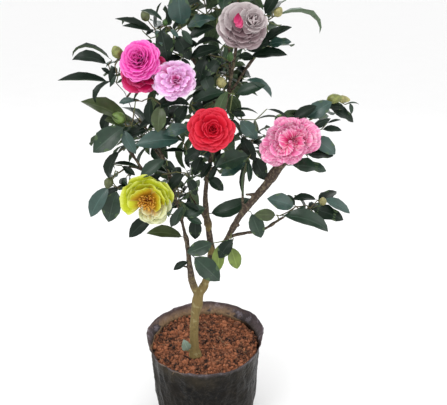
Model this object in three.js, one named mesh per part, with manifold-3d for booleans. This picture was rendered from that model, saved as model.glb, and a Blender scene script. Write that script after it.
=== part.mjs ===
// Young camellia shrub in a soft film nursery bag: the bag, its soil, the
// stems and boughs, and the masses of foliage and bloom that make the crown.
// Millimetres, +Z up, +Y towards the back of the crown. The origin is at the
// centre of the bag's flat underside.

import * as THREE from 'three';
import { mergeVertices } from 'three/addons/utils/BufferGeometryUtils.js';
import Module from 'manifold-3d';

const wasm = await Module();
wasm.setup();

// ---- Driving dimensions ----------------------------------------------------

const SEAT_GAP = 0.35;        // clearance between two pieces that touch
const SOIL_TOP = 165;         // level of the soil above the underside
const SOIL_DIP = 4;           // how far the crumbly surface falls below that
const FOOT = [-18, -40];      // where the trunk stands on the soil, X and Y
const MOUND = { topRadius: 16, footRadius: 30, height: 12, sides: 9 };  // soil round the trunk

const BAG = {
  footRadius: 88,             // flat underside
  waistRadius: 96,            // wall a third of the way up
  soilRadius: 99,             // wall at the soil
  rimRadius: 108,             // mean radius of the flared rim
  rimHeight: 180,             // mean height of the rim
  rimTilt: 8,                 // the rim stands this much higher at the back
  rimWave: 3,                 // how far the rim wanders in and out
  wall: 2.4,
  segments: 28,
};

const TRUNK_RADIUS = 6.8;
const TRUNK_TOP_RADIUS = 6.0;
const ROOT_FLARE = 4.5;       // added to the trunk's radius at the soil
const FLARE_HEIGHT = 14;

const MASS_GAP = 0.6;         // measured along a mass's own radius
const MASS_HOLLOWS = 0.4;     // how deep the hollows between its lobes are
const LOBE_WIDTH = 2.6;       // a higher number makes narrower lobes

const COLOURS = {
  film: 0x34323a, soil: 0x6b3f2e, bark: 0x6a6136, twig: 0x4c4028,
  leaf: 0x2d4a36, young: 0x6d8a34, magenta: 0xc92a86, lilac: 0xe8a6d8,
  blush: 0xd8c4c8, red: 0xd81a2c, pink: 0xe27ba4, yellow: 0xc8c83a,
};

// ---- Stems and boughs ------------------------------------------------------
// Each limb grows from a fraction of the way along its parent, passes through
// its bends, and ends at a tip that lies just inside a mass of the crown.

const LIMBS = [
  { name: 'left_stem', parent: 'trunk', at: 0.93, radii: [4.3, 2.1], steps: 11, bends: [
    [-17, -36, 322], [-23, -40, 380], [-42, -43, 474], [-56, -22, 520],
    [-80, 8, 562], [-106, 16, 590], [-125, -4, 650]], tip: [-139, -16, 668] },
  { name: 'centre_stem', parent: 'trunk', at: 0.93, radii: [5.0, 2.2], steps: 11, bends: [
    [3, -31, 311], [13, -22, 345], [13, -14, 381], [3, -4, 454], [9, 0, 509],
    [32, 5, 593], [50, 8, 680], [57, 9, 730]], tip: [56, 10, 772] },
  { name: 'right_bough', parent: 'centre_stem', at: 0.145, radii: [4.2, 4.0], steps: 9, bends: [
    [24, -22, 366], [40, -23, 394], [62, -28, 441], [77, -30, 468], [98, -32, 496]],
    tip: [128, -40, 537] },
  { name: 'low_right_bough', parent: 'right_bough', at: 0.24, radii: [2.6, 1.7], steps: 6, bends: [
    [66, -20, 404], [88, -18, 403], [104, -15, 411], [122, -12, 422]], tip: [136, -11, 429] },
  { name: 'lower_left_bough', parent: 'left_stem', at: 0.45, radii: [2.7, 1.9], steps: 7, bends: [
    [-62, -46, 492], [-82, -45, 510], [-99, -42, 535]], tip: [-124, -34, 571] },
  { name: 'left_side_shoot', parent: 'lower_left_bough', at: 0.55, radii: [1.9, 1.5], steps: 4,
    bends: [[-112, -44, 531]], tip: [-132, -42, 519] },
  { name: 'far_right_bough', parent: 'right_bough', at: 0.8, radii: [2.8, 1.8], steps: 6, bends: [
    [124, -10, 530], [148, 0, 565]], tip: [172, 0, 594] },
  { name: 'inner_right_shoot', parent: 'right_bough', at: 0.52, radii: [2.4, 1.8], steps: 4,
    bends: [[66, -25, 478]], tip: [68, -22, 512] },
  { name: 'top_right_bough', parent: 'centre_stem', at: 0.71, radii: [2.4, 1.7], steps: 5, bends: [
    [56, 8, 652], [80, 2, 690]], tip: [104, 0, 716] },
  { name: 'top_left_bough', parent: 'centre_stem', at: 0.62, radii: [2.4, 1.7], steps: 5, bends: [
    [16, 14, 634], [-6, 12, 676], [-24, 8, 702]], tip: [-42, 4, 716] },
  { name: 'back_left_bough', parent: 'left_stem', at: 0.6, radii: [2.6, 1.9], steps: 4,
    bends: [[-82, 24, 540]], tip: [-88, 38, 552] },
  { name: 'back_right_bough', parent: 'centre_stem', at: 0.46, radii: [2.8, 1.9], steps: 4,
    bends: [[44, 24, 522], [74, 34, 540]], tip: [96, 44, 550] },
  { name: 'back_low_bough', parent: 'centre_stem', at: 0.24, radii: [2.6, 1.9], steps: 5,
    bends: [[2, 8, 418]], tip: [-18, 38, 438] },
  { name: 'back_core_bough', parent: 'centre_stem', at: 0.56, radii: [2.8, 1.9], steps: 5,
    bends: [[26, 28, 578]], tip: [26, 56, 600] },
  { name: 'back_top_bough', parent: 'centre_stem', at: 0.76, radii: [2.3, 1.7], steps: 5,
    bends: [[44, 26, 698]], tip: [38, 48, 722] },
  { name: 'centre_bloom_stalk', parent: 'centre_stem', at: 0.53, radii: [1.9, 1.6], steps: 3,
    bends: [[17, -26, 560]], tip: [15, -58, 578] },
  { name: 'top_bloom_stalk', parent: 'centre_stem', at: 0.86, radii: [1.9, 1.6], steps: 3,
    bends: [[58, -8, 720]], tip: [61, -26, 732] },
  { name: 'fork_shoot', parent: 'centre_stem', at: 0.12, radii: [1.6, 1.3], steps: 3,
    bends: [[14, -34, 352]], tip: [18, -42, 356] },
  { name: 'low_left_shoot', parent: 'left_stem', at: 0.13, radii: [1.5, 1.2], steps: 3,
    bends: [[-26, -38, 347]], tip: [-35, -38, 349] },
  { name: 'basal_shoot', parent: 'trunk', at: 0.12, radii: [1.5, 1.2], steps: 3,
    bends: [[-27, -48, 181]], tip: [-32, -53, 186] },
];

// ---- Masses of the crown ---------------------------------------------------
// Each mass fills a box: its centre, and half its size along X, Y and Z.

const MASSES = [
  { name: 'left_fan', centre: [-170, -18, 676], half: [52, 38, 42] },
  { name: 'left_bloom', centre: [-84, -54, 683], half: [38, 34, 43], colour: 'magenta' },
  { name: 'middle_bloom', centre: [-36, -66, 670], half: [34, 30, 32], detail: 1, colour: 'lilac' },
  { name: 'top_bloom', centre: [63, -48, 743], half: [42, 34, 40], colour: 'blush' },
  { name: 'centre_bloom', centre: [15, -78, 596], half: [42, 30, 42], colour: 'red' },
  { name: 'right_bloom', centre: [144, -56, 577], half: [58, 34, 48], colour: 'pink' },
  { name: 'low_bloom', centre: [-83, -74, 486], half: [45, 32, 50], detail: 1, colour: 'yellow' },
  { name: 'top_left', centre: [-72, 2, 728], half: [58, 36, 40] },
  { name: 'top_middle', centre: [-12, 8, 762], half: [38, 34, 44], detail: 1 },
  { name: 'crown_top', centre: [48, 14, 798], half: [62, 50, 42] },
  { name: 'top_right', centre: [140, 0, 737], half: [56, 38, 42] },
  { name: 'upper_core', centre: [30, 8, 663], half: [44, 38, 46] },
  { name: 'upper_right', centre: [84, 0, 646], half: [34, 28, 21], detail: 1 },
  { name: 'left_shelf', centre: [-144, -25, 593], half: [46, 36, 44] },
  { name: 'centre_left', centre: [-54, -28, 588], half: [48, 38, 52], detail: 1 },
  { name: 'centre_right', centre: [74, -15, 556], half: [30, 32, 58], detail: 1 },
  { name: 'far_right', centre: [202, 0, 607], half: [54, 34, 33] },
  { name: 'lower_right', centre: [182, -10, 434], half: [73, 40, 36] },
  { name: 'low_branch_leaves', centre: [106, -15, 419], half: [26, 24, 30], detail: 1 },
  { name: 'lower_left', centre: [-150, -40, 494], half: [37, 34, 58] },
  { name: 'lower_middle', centre: [-46, -26, 471], half: [45, 38, 66] },
  { name: 'inner_right', centre: [48, -30, 454], half: [34, 24, 23], detail: 1 },
  { name: 'under_bloom', centre: [20, -14, 512], half: [27, 28, 32], detail: 1 },
  { name: 'fork_leaves', centre: [22, -48, 365], half: [40, 24, 42], detail: 1, colour: 'young' },
  { name: 'low_left_leaves', centre: [-38, -38, 349], half: [14, 12, 12], detail: 1 },
  { name: 'basal_leaf', centre: [-33, -53, 198], half: [8, 6, 20], detail: 1 },
  { name: 'back_upper_left', centre: [-76, 66, 654], half: [66, 50, 44] },
  { name: 'back_top', centre: [18, 74, 768], half: [78, 56, 58] },
  { name: 'back_core', centre: [20, 94, 636], half: [68, 50, 70] },
  { name: 'back_left', centre: [-96, 64, 553], half: [62, 54, 58] },
  { name: 'back_right', centre: [120, 66, 553], half: [74, 56, 52] },
  { name: 'back_low', centre: [-36, 64, 460], half: [58, 52, 72] },
  { name: 'back_middle', centre: [12, 126, 540], half: [64, 34, 60], detail: 1 },
];

// ---- Helpers ---------------------------------------------------------------

// A repeatable stream of numbers from 0 to 1.
function numberStream(seed) {
  let state = seed >>> 0;
  return () => {
    state = (state + 0x6d2b79f5) >>> 0;
    let word = state;
    word = Math.imul(word ^ (word >>> 15), word | 1);
    word ^= word + Math.imul(word ^ (word >>> 7), word | 61);
    return ((word ^ (word >>> 14)) >>> 0) / 4294967296;
  };
}

// A closed geometry as a solid: vertices merged, empty triangles dropped.
function toSolid(geometry) {
  geometry.deleteAttribute('normal');
  geometry.deleteAttribute('uv');
  const merged = mergeVertices(geometry, 1e-4);
  const corners = [];
  for (let i = 0; i < merged.index.count; i += 3) {
    const [a, b, c] = merged.index.array.slice(i, i + 3);
    if (a !== b && b !== c && c !== a) corners.push(a, b, c);
  }
  return new wasm.Manifold(new wasm.Mesh({
    numProp: 3,
    vertProperties: merged.attributes.position.array,
    triVerts: new Uint32Array(corners),
  }));
}

// The largest body that is left of a solid once its neighbours are cut away.
function cutBy(solid, neighbours) {
  const rest = neighbours.reduce((kept, neighbour) => kept.subtract(neighbour), solid);
  return rest.decompose().reduce((a, b) => (a.volume() > b.volume() ? a : b));
}

const crown = new THREE.Group();

// A solid as a named mesh of the group.
function addMesh(name, solid, colour, roughness) {
  const mesh = solid.getMesh();
  const geometry = new THREE.BufferGeometry();
  geometry.setAttribute('position', new THREE.BufferAttribute(mesh.vertProperties, 3));
  geometry.setIndex(new THREE.BufferAttribute(mesh.triVerts, 1));
  geometry.computeVertexNormals();
  const material = new THREE.MeshStandardMaterial({ color: colour, roughness, metalness: 0 });
  const object = new THREE.Mesh(geometry, material);
  object.name = name;
  crown.add(object);
}

// ---- Bag and soil ----------------------------------------------------------

// A closed lathe about Z whose upper part tilts and waves with the bag's rim.
function turned(profile) {
  const points = profile.map(([radius, height]) => new THREE.Vector2(radius, height));
  const geometry = new THREE.LatheGeometry(points, BAG.segments);
  geometry.rotateX(Math.PI / 2);
  const place = geometry.attributes.position;
  for (let i = 0; i < place.count; i++) {
    const [x, y, z] = [place.getX(i), place.getY(i), place.getZ(i)];
    const lift = Math.max(0, (z - SOIL_TOP) / (BAG.rimHeight - SOIL_TOP));
    const turn = Math.atan2(y, x);
    const radius = Math.hypot(x, y);
    const outward = lift * BAG.rimWave * (Math.sin(2 * turn + 0.6) + 0.6 * Math.sin(5 * turn));
    const scale = radius > 0 ? (radius + outward) / radius : 1;
    const rise = lift * (BAG.rimTilt * Math.sin(turn) + 1.5 * Math.sin(3 * turn + 0.4));
    place.setXYZ(i, x * scale, y * scale, z + rise);
  }
  return toSolid(geometry);
}

// The outer wall of the bag; `inset` gives the surfaces inside it.
function wallProfile(inset) {
  return [
    [BAG.footRadius - inset, inset],
    [BAG.waistRadius - inset, SOIL_TOP / 3],
    [BAG.soilRadius - inset, SOIL_TOP],
  ];
}

function makeBag() {
  const outside = [...wallProfile(0), [BAG.rimRadius, BAG.rimHeight]];
  const inside = [...wallProfile(BAG.wall), [BAG.rimRadius - BAG.wall, BAG.rimHeight]];
  return turned([[0, 0], ...outside, ...inside.reverse(), [0, BAG.wall]]);
}

function makeSoil() {
  const side = wallProfile(BAG.wall + SEAT_GAP);
  const edge = side.at(-1)[0];
  side[side.length - 1] = [edge, SOIL_TOP - SOIL_DIP];
  const surface = [[edge * 0.7, SOIL_TOP - SOIL_DIP / 2]];
  const heap = turned([[0, BAG.wall + SEAT_GAP], ...side, ...surface, [0, SOIL_TOP - SOIL_DIP]]);
  // The trunk stands on a low flat-topped mound.
  const mound = new THREE.CylinderGeometry(
    MOUND.topRadius, MOUND.footRadius, MOUND.height, MOUND.sides);
  mound.rotateX(Math.PI / 2);
  mound.translate(...FOOT, SOIL_TOP - MOUND.height / 2);
  return heap.add(toSolid(mound));
}

// ---- Limbs -----------------------------------------------------------------

// A tapering limb along a smooth path. With `grow` above nought it is the
// same limb fattened all round, to cut the seats of its neighbours.
function makeLimb({ curve, radii, steps, sides = 5, flare = 0 }, grow = 0) {
  const frames = curve.computeFrenetFrames(steps);
  const limb = new THREE.CylinderGeometry(1, 1, 1, sides, steps);
  const place = limb.attributes.position;
  const across = new THREE.Vector3();
  for (let i = 0; i < place.count; i++) {
    const along = place.getY(i) + 0.5;
    const step = Math.round(along * steps);
    const centre = curve.getPointAt(along);
    const length = curve.getLength() * along;
    const root = flare * Math.exp(-length / FLARE_HEIGHT);
    const buttress = 1 + 0.25 * Math.sin(3 * Math.atan2(place.getZ(i), place.getX(i)));
    const radius = THREE.MathUtils.lerp(radii[0], radii[1], along) + root * buttress + grow;
    across.set(0, 0, 0)
      .addScaledVector(frames.binormals[step], place.getX(i))
      .addScaledVector(frames.normals[step], place.getZ(i))
      .multiplyScalar(radius);
    const overrun = step === 0 ? -grow : step === steps ? grow : 0;
    centre.add(across).addScaledVector(frames.tangents[step], overrun);
    place.setXYZ(i, centre.x, centre.y, centre.z);
  }
  return toSolid(limb);
}

function smoothPath(points) {
  return new THREE.CatmullRomCurve3(points.map((p) => new THREE.Vector3(...p)), false, 'centripetal');
}

function makeLimbs() {
  const trunk = {
    name: 'trunk',
    curve: smoothPath([[...FOOT, SOIL_TOP + SEAT_GAP], [-18, -40, 185], [-18, -38, 222],
      [-15, -36, 256], [-9, -34, 290]]),
    radii: [TRUNK_RADIUS, TRUNK_TOP_RADIUS],
    steps: 8, sides: 9, flare: ROOT_FLARE,
  };
  const made = new Map();
  const keep = (limb, solid) => {
    made.set(limb.name, { curve: limb.curve, solid, cutter: makeLimb(limb, SEAT_GAP) });
    addMesh(limb.name, solid, limb === trunk ? COLOURS.bark : COLOURS.twig, 0.85);
  };
  // The trunk starts with a level cut, whatever the lean of its path.
  const level = new THREE.BoxGeometry(80, 80, 20);
  level.translate(...FOOT, SOIL_TOP + SEAT_GAP - 10);
  keep(trunk, cutBy(makeLimb(trunk), [toSolid(level)]));
  for (const limb of LIMBS) {
    const start = made.get(limb.parent).curve.getPointAt(limb.at).toArray();
    limb.curve = smoothPath([start, ...limb.bends, limb.tip]);
    const cutters = [...made.values()].map((other) => other.cutter);
    keep(limb, cutBy(makeLimb(limb), cutters));
  }
  return [...made.values()].map((limb) => limb.cutter);
}

// ---- Masses ----------------------------------------------------------------

// One closed, uneven mass: a ball swollen into a few lobes and fitted to its
// box. With `grow` above nought it is fattened, to cut its neighbours.
function makeMass({ centre, half, detail = 2, seed }, grow = 0) {
  const random = numberStream(seed);
  const lobes = Array.from({ length: 6 }, () => new THREE.Vector3(
    random() - 0.5, random() - 0.5, random() - 0.5).normalize());
  const ball = new THREE.IcosahedronGeometry(1, detail);
  const place = ball.attributes.position;
  const direction = new THREE.Vector3();
  for (let i = 0; i < place.count; i++) {
    direction.fromBufferAttribute(place, i).normalize();
    const swell = Math.max(...lobes.map((lobe) => (
      Math.exp(-LOBE_WIDTH * (1 - direction.dot(lobe))))));
    direction.multiplyScalar(1 - MASS_HOLLOWS * (1 - swell));
    place.setXYZ(i, ...direction.toArray());
  }
  ball.computeBoundingBox();
  const middle = ball.boundingBox.getCenter(new THREE.Vector3());
  const size = ball.boundingBox.getSize(new THREE.Vector3());
  ball.translate(-middle.x, -middle.y, -middle.z);
  ball.scale(2 * half[0] / size.x, 2 * half[1] / size.y, 2 * half[2] / size.z);
  for (let i = 0; i < place.count; i++) {
    direction.fromBufferAttribute(place, i);
    direction.addScaledVector(direction.clone().normalize(), grow);
    place.setXYZ(i, ...direction.toArray());
  }
  ball.translate(...centre);
  return toSolid(ball);
}

function makeMasses(limbCutters) {
  const massCutters = [];
  MASSES.forEach((mass, order) => {
    const shape = { ...mass, seed: 101 + 7 * order };
    const solid = cutBy(makeMass(shape), [...limbCutters, ...massCutters]);
    addMesh(`foliage_${mass.name}`, solid, COLOURS[mass.colour ?? 'leaf'], 0.6);
    massCutters.push(makeMass(shape, MASS_GAP));
  });
}

addMesh('bag', makeBag(), COLOURS.film, 0.5);
addMesh('soil', makeSoil(), COLOURS.soil, 0.95);
makeMasses(makeLimbs());

export default crown;
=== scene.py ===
"""The looks of a potted camellia shrub, built round its fixed model.

Run as a script it loads the model as a frame and makes every visible piece in turn: the film bag,
its soil, the barked wood, the leaves, the buds, the blooms and the twigs that carry them, and last
the floor, lights and camera. Everything is in metres, +Z up, with the crown's front towards -Y.
"""

import math
import random
from collections import namedtuple

import bmesh
import bpy
import numpy as np
from bpy.props import FloatProperty, FloatVectorProperty, IntProperty, PointerProperty
from bpy.types import Operator, Panel, PropertyGroup
from mathutils import Matrix, Vector, noise
from mathutils.kdtree import KDTree


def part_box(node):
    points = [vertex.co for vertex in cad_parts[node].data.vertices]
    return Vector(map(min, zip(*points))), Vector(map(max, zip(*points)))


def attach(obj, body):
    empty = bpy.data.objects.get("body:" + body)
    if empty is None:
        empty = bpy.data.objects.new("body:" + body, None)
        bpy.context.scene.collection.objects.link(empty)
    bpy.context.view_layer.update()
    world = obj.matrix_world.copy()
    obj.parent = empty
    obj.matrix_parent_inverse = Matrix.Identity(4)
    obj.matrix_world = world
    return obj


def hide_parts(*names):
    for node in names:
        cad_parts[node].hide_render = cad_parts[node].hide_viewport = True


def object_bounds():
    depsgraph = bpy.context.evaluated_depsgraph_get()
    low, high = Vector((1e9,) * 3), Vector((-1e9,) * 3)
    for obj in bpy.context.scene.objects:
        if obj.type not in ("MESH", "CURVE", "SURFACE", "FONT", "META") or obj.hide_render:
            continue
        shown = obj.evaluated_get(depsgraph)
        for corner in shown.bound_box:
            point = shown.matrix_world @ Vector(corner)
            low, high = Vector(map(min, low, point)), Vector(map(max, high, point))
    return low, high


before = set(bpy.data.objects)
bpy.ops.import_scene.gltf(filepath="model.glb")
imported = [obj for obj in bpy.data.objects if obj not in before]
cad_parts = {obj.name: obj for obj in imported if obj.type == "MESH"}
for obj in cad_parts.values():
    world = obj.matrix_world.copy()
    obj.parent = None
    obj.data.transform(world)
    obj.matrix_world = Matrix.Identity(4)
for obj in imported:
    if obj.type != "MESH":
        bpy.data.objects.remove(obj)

bl_info = {
    "name": "Potted camellia",
    "version": (1, 0, 0),
    "blender": (4, 5, 0),
    "location": "View3D > Sidebar > Camellia",
    "description": "Builds a camellia shrub in its nursery bag round a fixed model",
    "category": "Add Mesh",
}

CAD_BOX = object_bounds()
MM = 0.001
# Where the camera stands.
EYE = Vector((0.0346, -0.917, 0.840))
GOLDEN_ANGLE = math.radians(137.508)
GOLDEN_SHARE = 0.618034


def rgb(code):
    """A hex colour as the linear values that Blender's sockets take."""
    parts = [int(code[i:i + 2], 16) / 255 for i in (0, 2, 4)]
    return tuple(p / 12.92 if p <= 0.04045 else ((p + 0.055) / 1.055) ** 2.4 for p in parts)


def size_setting(name, description, size):
    """A setting for a length, given in millimetres."""
    return FloatProperty(name=name, description=description, default=size * MM, unit="LENGTH")


def colour_setting(name, description, code):
    """A setting for a colour, given as its hex code."""
    return FloatVectorProperty(name=name, description=description, subtype="COLOR", default=rgb(code))


# ---- Node trees ------------------------------------------------------------


class Wire:
    """A node's output that ordinary arithmetic works on."""

    def __init__(self, sheet, socket):
        self.sheet = sheet
        self.socket = socket

    def combine(self, operation, *terms):
        """A Math node on plain numbers, or a Vector Math node on vectors and colours."""
        numbers = ("VALUE", "INT", "BOOLEAN")
        flat = all(not isinstance(t, Wire) or t.socket.type in numbers for t in terms)
        kind = "ShaderNodeMath" if flat else "ShaderNodeVectorMath"
        return self.sheet.node(kind, {"operation": operation}, dict(enumerate(terms)))

    def op(self, operation, *others):
        """A maths node that starts from this wire."""
        return self.combine(operation, self, *others)

    def __add__(self, other):
        return self.op("ADD", other)

    def __sub__(self, other):
        return self.op("SUBTRACT", other)

    def __rsub__(self, other):
        return self.combine("SUBTRACT", other, self)

    def __mul__(self, other):
        return self.op("MULTIPLY", other)

    def __truediv__(self, other):
        return self.op("DIVIDE", other)

    def __pow__(self, other):
        return self.op("POWER", other)

    __radd__ = __add__
    __rmul__ = __mul__


class Sheet:
    """A node tree, and the one method that adds any node to it."""

    def __init__(self, tree):
        self.tree = tree

    def plug(self, socket, value):
        """Links a wire to a socket, or sets the socket's own value."""
        if isinstance(value, Wire):
            self.tree.links.new(value.socket, socket)
        elif hasattr(socket.default_value, "__len__") and not isinstance(value, str):
            size = len(socket.default_value)
            parts = list(value) if hasattr(value, "__len__") else [value] * size
            socket.default_value = parts + [1.0] * (size - len(parts))
        else:
            socket.default_value = value

    def node(self, kind, settings=None, sockets=None, output=0):
        """Adds a node, its settings first, and returns the wire of one of its outputs."""
        made = self.tree.nodes.new(kind)
        for name, value in (settings or {}).items():
            if name == "stops":
                for place, colour in value[1:-1]:
                    made.color_ramp.elements.new(place)
                for stop, (place, colour) in zip(made.color_ramp.elements, value):
                    stop.position = place
                    stop.color = (*colour, 1.0)
            else:
                setattr(made, name, value)
        for key, value in (sockets or {}).items():
            self.plug(made.inputs[key], value)
        return Wire(self, made.outputs[output]) if made.outputs else None


class Paint(Sheet):
    """A material's shader, from its patterns to its surface."""

    def __init__(self, name):
        self.material = bpy.data.materials.new(name)
        self.material.use_nodes = True
        self.material.node_tree.nodes.clear()
        super().__init__(self.material.node_tree)

    def place(self):
        """Where a point lies on the object, in metres."""
        return self.node("ShaderNodeTexCoord", output=3)

    def own_uv(self):
        """How far across and along its own leaf or petal a point lies."""
        return self.node("ShaderNodeUVMap", {"uv_map": "UVMap"})

    def part(self, vector, axis):
        """One of a vector's numbers."""
        return self.node("ShaderNodeSeparateXYZ", None, {0: vector}, "XYZ".index(axis))

    def attribute(self, name):
        """A number stored on the mesh."""
        return self.node("ShaderNodeAttribute", {"attribute_name": name}, None, 2)

    def cloud(self, vector, scale, detail=3.0, roughness=0.55):
        """Noise from about 0.3 to 0.7 with that many waves to the metre."""
        sockets = {"Vector": vector, "Scale": scale, "Detail": detail, "Roughness": roughness}
        return self.node("ShaderNodeTexNoise", None, sockets)

    def cells(self, vector, scale):
        """Distance from the nearest of a scatter of points."""
        return self.node("ShaderNodeTexVoronoi", None, {"Vector": vector, "Scale": scale})

    def stretch(self, value, low, high, start=0.0, end=1.0):
        """A number rescaled from low..high to start..end and held there."""
        sockets = {"Value": value, "From Min": low, "From Max": high, "To Min": start, "To Max": end}
        settings = {"interpolation_type": "SMOOTHSTEP"}
        return self.node("ShaderNodeMapRange", settings, sockets)

    def blend(self, factor, first, second):
        """One colour turning into another."""
        return self.node("ShaderNodeMix", {"data_type": "RGBA"}, {0: factor, 6: first, 7: second}, 2)

    def bump(self, height, distance, strength=1.0):
        """A normal from a height in 0..1 that stands for a distance in metres."""
        sockets = {"Height": height, "Distance": distance, "Strength": strength}
        return self.node("ShaderNodeBump", None, sockets)

    def surface(self, **values):
        """Ends the shader in one surface and returns the material."""
        sockets = {name.replace("_", " "): value for name, value in values.items()}
        shader = self.node("ShaderNodeBsdfPrincipled", None, sockets)
        self.node("ShaderNodeOutputMaterial", None, {"Surface": shader})
        return self.material


class Rule(Sheet):
    """A Geometry Nodes tree with named inputs."""

    KINDS = {
        "geometry": "NodeSocketGeometry", "number": "NodeSocketFloat", "count": "NodeSocketInt",
        "vector": "NodeSocketVector", "set": "NodeSocketCollection", "finish": "NodeSocketMaterial",
    }

    def __init__(self, name, inputs):
        super().__init__(bpy.data.node_groups.new(name, "GeometryNodeTree"))
        for label, kind in inputs.items():
            self.tree.interface.new_socket(label, in_out="INPUT", socket_type=self.KINDS[kind])
        self.tree.interface.new_socket("Geometry", in_out="OUTPUT", socket_type=self.KINDS["geometry"])
        self.source = self.tree.nodes.new("NodeGroupInput")

    def given(self, label):
        """The wire of one named input."""
        return Wire(self, self.source.outputs[label])

    def stored(self, name, kind):
        """An attribute that the geometry carries."""
        return self.node("GeometryNodeInputNamedAttribute", {"data_type": kind}, {"Name": name})

    def end(self, geometry, finish):
        """Realizes the instances and gives them their finish."""
        real = self.node("GeometryNodeRealizeInstances", None, {0: geometry})
        painted = self.node("GeometryNodeSetMaterial", None, {"Geometry": real, "Material": finish})
        return painted

    def output(self, geometry):
        """Ends the tree."""
        self.node("NodeGroupOutput", None, {"Geometry": geometry})
        return self.tree


def grow_by_rule(base_mesh, tree, inputs):
    """The plain mesh that a tree makes from a base mesh and its named inputs."""
    base = bpy.data.objects.new("rule_base", base_mesh)
    modifier = base.modifiers.new("rule", "NODES")
    modifier.node_group = tree
    for item in tree.interface.items_tree:
        if item.in_out == "INPUT" and item.name in inputs:
            modifier[item.identifier] = inputs[item.name]
    bpy.context.scene.collection.objects.link(base)
    graph = bpy.context.evaluated_depsgraph_get()
    mesh = bpy.data.meshes.new_from_object(
        base.evaluated_get(graph), preserve_all_data_layers=True, depsgraph=graph)
    bpy.data.objects.remove(base)
    if not mesh.polygons:
        raise RuntimeError(f"the rule {tree.name} made nothing")
    return mesh


# ---- Meshes ----------------------------------------------------------------


def add_piece(name, mesh, nodes=()):
    """Puts a finished mesh in the scene as a piece that stands for some nodes of the model."""
    mesh.name = name
    piece = bpy.data.objects.new(name, mesh)
    bpy.context.scene.collection.objects.link(piece)
    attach(piece, "root")
    if nodes:
        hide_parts(*nodes)
    return piece


def mesh_from(name, points, faces):
    """A smooth-shaded mesh."""
    mesh = bpy.data.meshes.new(name)
    mesh.from_pydata([tuple(p) for p in points], [], faces, shade_flat=False)
    mesh.update()
    return mesh


def belts(first, count, around):
    """The corners of each face between rings of points: two on a ring, and the two next to them."""
    for ring in range(first, first + count * around, around):
        for i in range(around):
            j = (i + 1) % around
            yield ring + i, ring + j, ring + around + i, ring + around + j


def scatter_mesh(points, **fields):
    """Loose points that carry named numbers, whole numbers or vectors."""
    mesh = bpy.data.meshes.new("points")
    mesh.from_pydata([tuple(p) for p in points], [], [])
    for name, values in fields.items():
        values = np.array(values)
        if values.ndim == 2:
            kind, key = "FLOAT_VECTOR", "vector"
        else:
            kind, key = ("INT" if values.dtype.kind == "i" else "FLOAT"), "value"
        mesh.attributes.new(name, kind, "POINT").data.foreach_set(key, values.ravel())
    return mesh


def shell(name, rows, columns, place, thickness):
    """A closed thin mesh, full in the middle and sharp at its rim.

    place(t, s) gives its middle surface: t from 0 to 1 along, s from -1 to 1 across. Faces on the
    back carry the attribute underside.
    """
    across = np.linspace(-1, 1, columns + 1)
    grid = np.array([[place(t, s) for s in across] for t in rows], float)
    normal = np.cross(np.gradient(grid, axis=1), np.gradient(grid, axis=0))
    normal /= np.maximum(np.linalg.norm(normal, axis=2, keepdims=True), 1e-12)
    count = len(rows)
    front = np.arange(count * (columns + 1)).reshape(count, columns + 1)
    back = front.copy()
    inner = np.zeros_like(front, bool)
    inner[1:-1, 1:-1] = True
    back[inner] = front.size + np.arange(inner.sum())
    half = np.where(inner, thickness / 2, 0.0)[..., None]
    points = np.concatenate([(grid + normal * half).reshape(-1, 3), (grid - normal * half)[inner]])
    faces = []
    for side, flip in ((front, False), (back, True)):
        for r in range(count - 1):
            for c in range(columns):
                ring = [side[r, c], side[r, c + 1], side[r + 1, c + 1], side[r + 1, c]]
                faces.append(ring[::-1] if flip else ring)
    mesh = mesh_from(name, points, [[int(i) for i in face] for face in faces])
    mark_sides(mesh, front, rows, across, inner, back)
    return mesh


def mark_sides(mesh, front, rows, across, inner, back):
    """Gives a shell its UV map, its underside attribute and its sharp rim."""
    where = {}
    for r, t in enumerate(rows):
        for c, s in enumerate(across):
            where[int(front[r, c])] = where[int(back[r, c])] = ((s + 1) / 2, t)
    uv = mesh.uv_layers.new(name="UVMap")
    for loop in mesh.loops:
        uv.data[loop.index].uv = where[loop.vertex_index]
    half = len(mesh.polygons) // 2
    under = [i >= half for i in range(len(mesh.polygons))]
    mesh.attributes.new("underside", "BOOLEAN", "FACE").data.foreach_set("value", under)
    rim = set(front[~inner].ravel().tolist())
    sides = {}
    for polygon in mesh.polygons:
        for key in polygon.edge_keys:
            sides.setdefault(key, set()).add(polygon.index >= half)
    sharp = [set(e.vertices) <= rim and len(sides[e.key]) == 2 for e in mesh.edges]
    mesh.attributes.new("sharp_edge", "BOOLEAN", "EDGE").data.foreach_set("value", sharp)


def library(name, meshes):
    """A hidden collection of shapes, in the order given, for a rule to pick from."""
    shelf = bpy.data.collections.new(name)
    for order, mesh in enumerate(meshes):
        shelf.objects.link(bpy.data.objects.new(f"{name}_{order:02d}", mesh))
    return shelf


def bend_line(lift, droop, hook):
    """A midline in the YZ plane from (0, 0) to (1, 0) that rises, then falls; its y, z and slope."""
    t = np.linspace(0, 1, 121)
    slope = np.radians(lift - (lift + droop) * t ** hook)
    y = np.concatenate([[0], np.cumsum(np.cos(slope[1:]))])
    z = np.concatenate([[0], np.cumsum(np.sin(slope[1:]))])
    tilt = math.atan2(z[-1], y[-1])
    reach = math.hypot(y[-1], z[-1])
    flat_y = (y * math.cos(tilt) + z * math.sin(tilt)) / reach
    flat_z = (z * math.cos(tilt) - y * math.sin(tilt)) / reach
    return lambda at: [np.interp(at, t, v) for v in (flat_y, flat_z, slope - tilt)]


def facing_turn(along, up):
    """Euler angles that lay +Y along one direction and lean +Z towards another."""
    y = Vector(along).normalized()
    z = Vector(up) - y * y.dot(up)
    z = z.normalized() if z.length > 1e-4 else y.orthogonal().normalized()
    x = y.cross(z)
    return tuple(Matrix((x, y, z)).transposed().to_euler())


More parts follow.
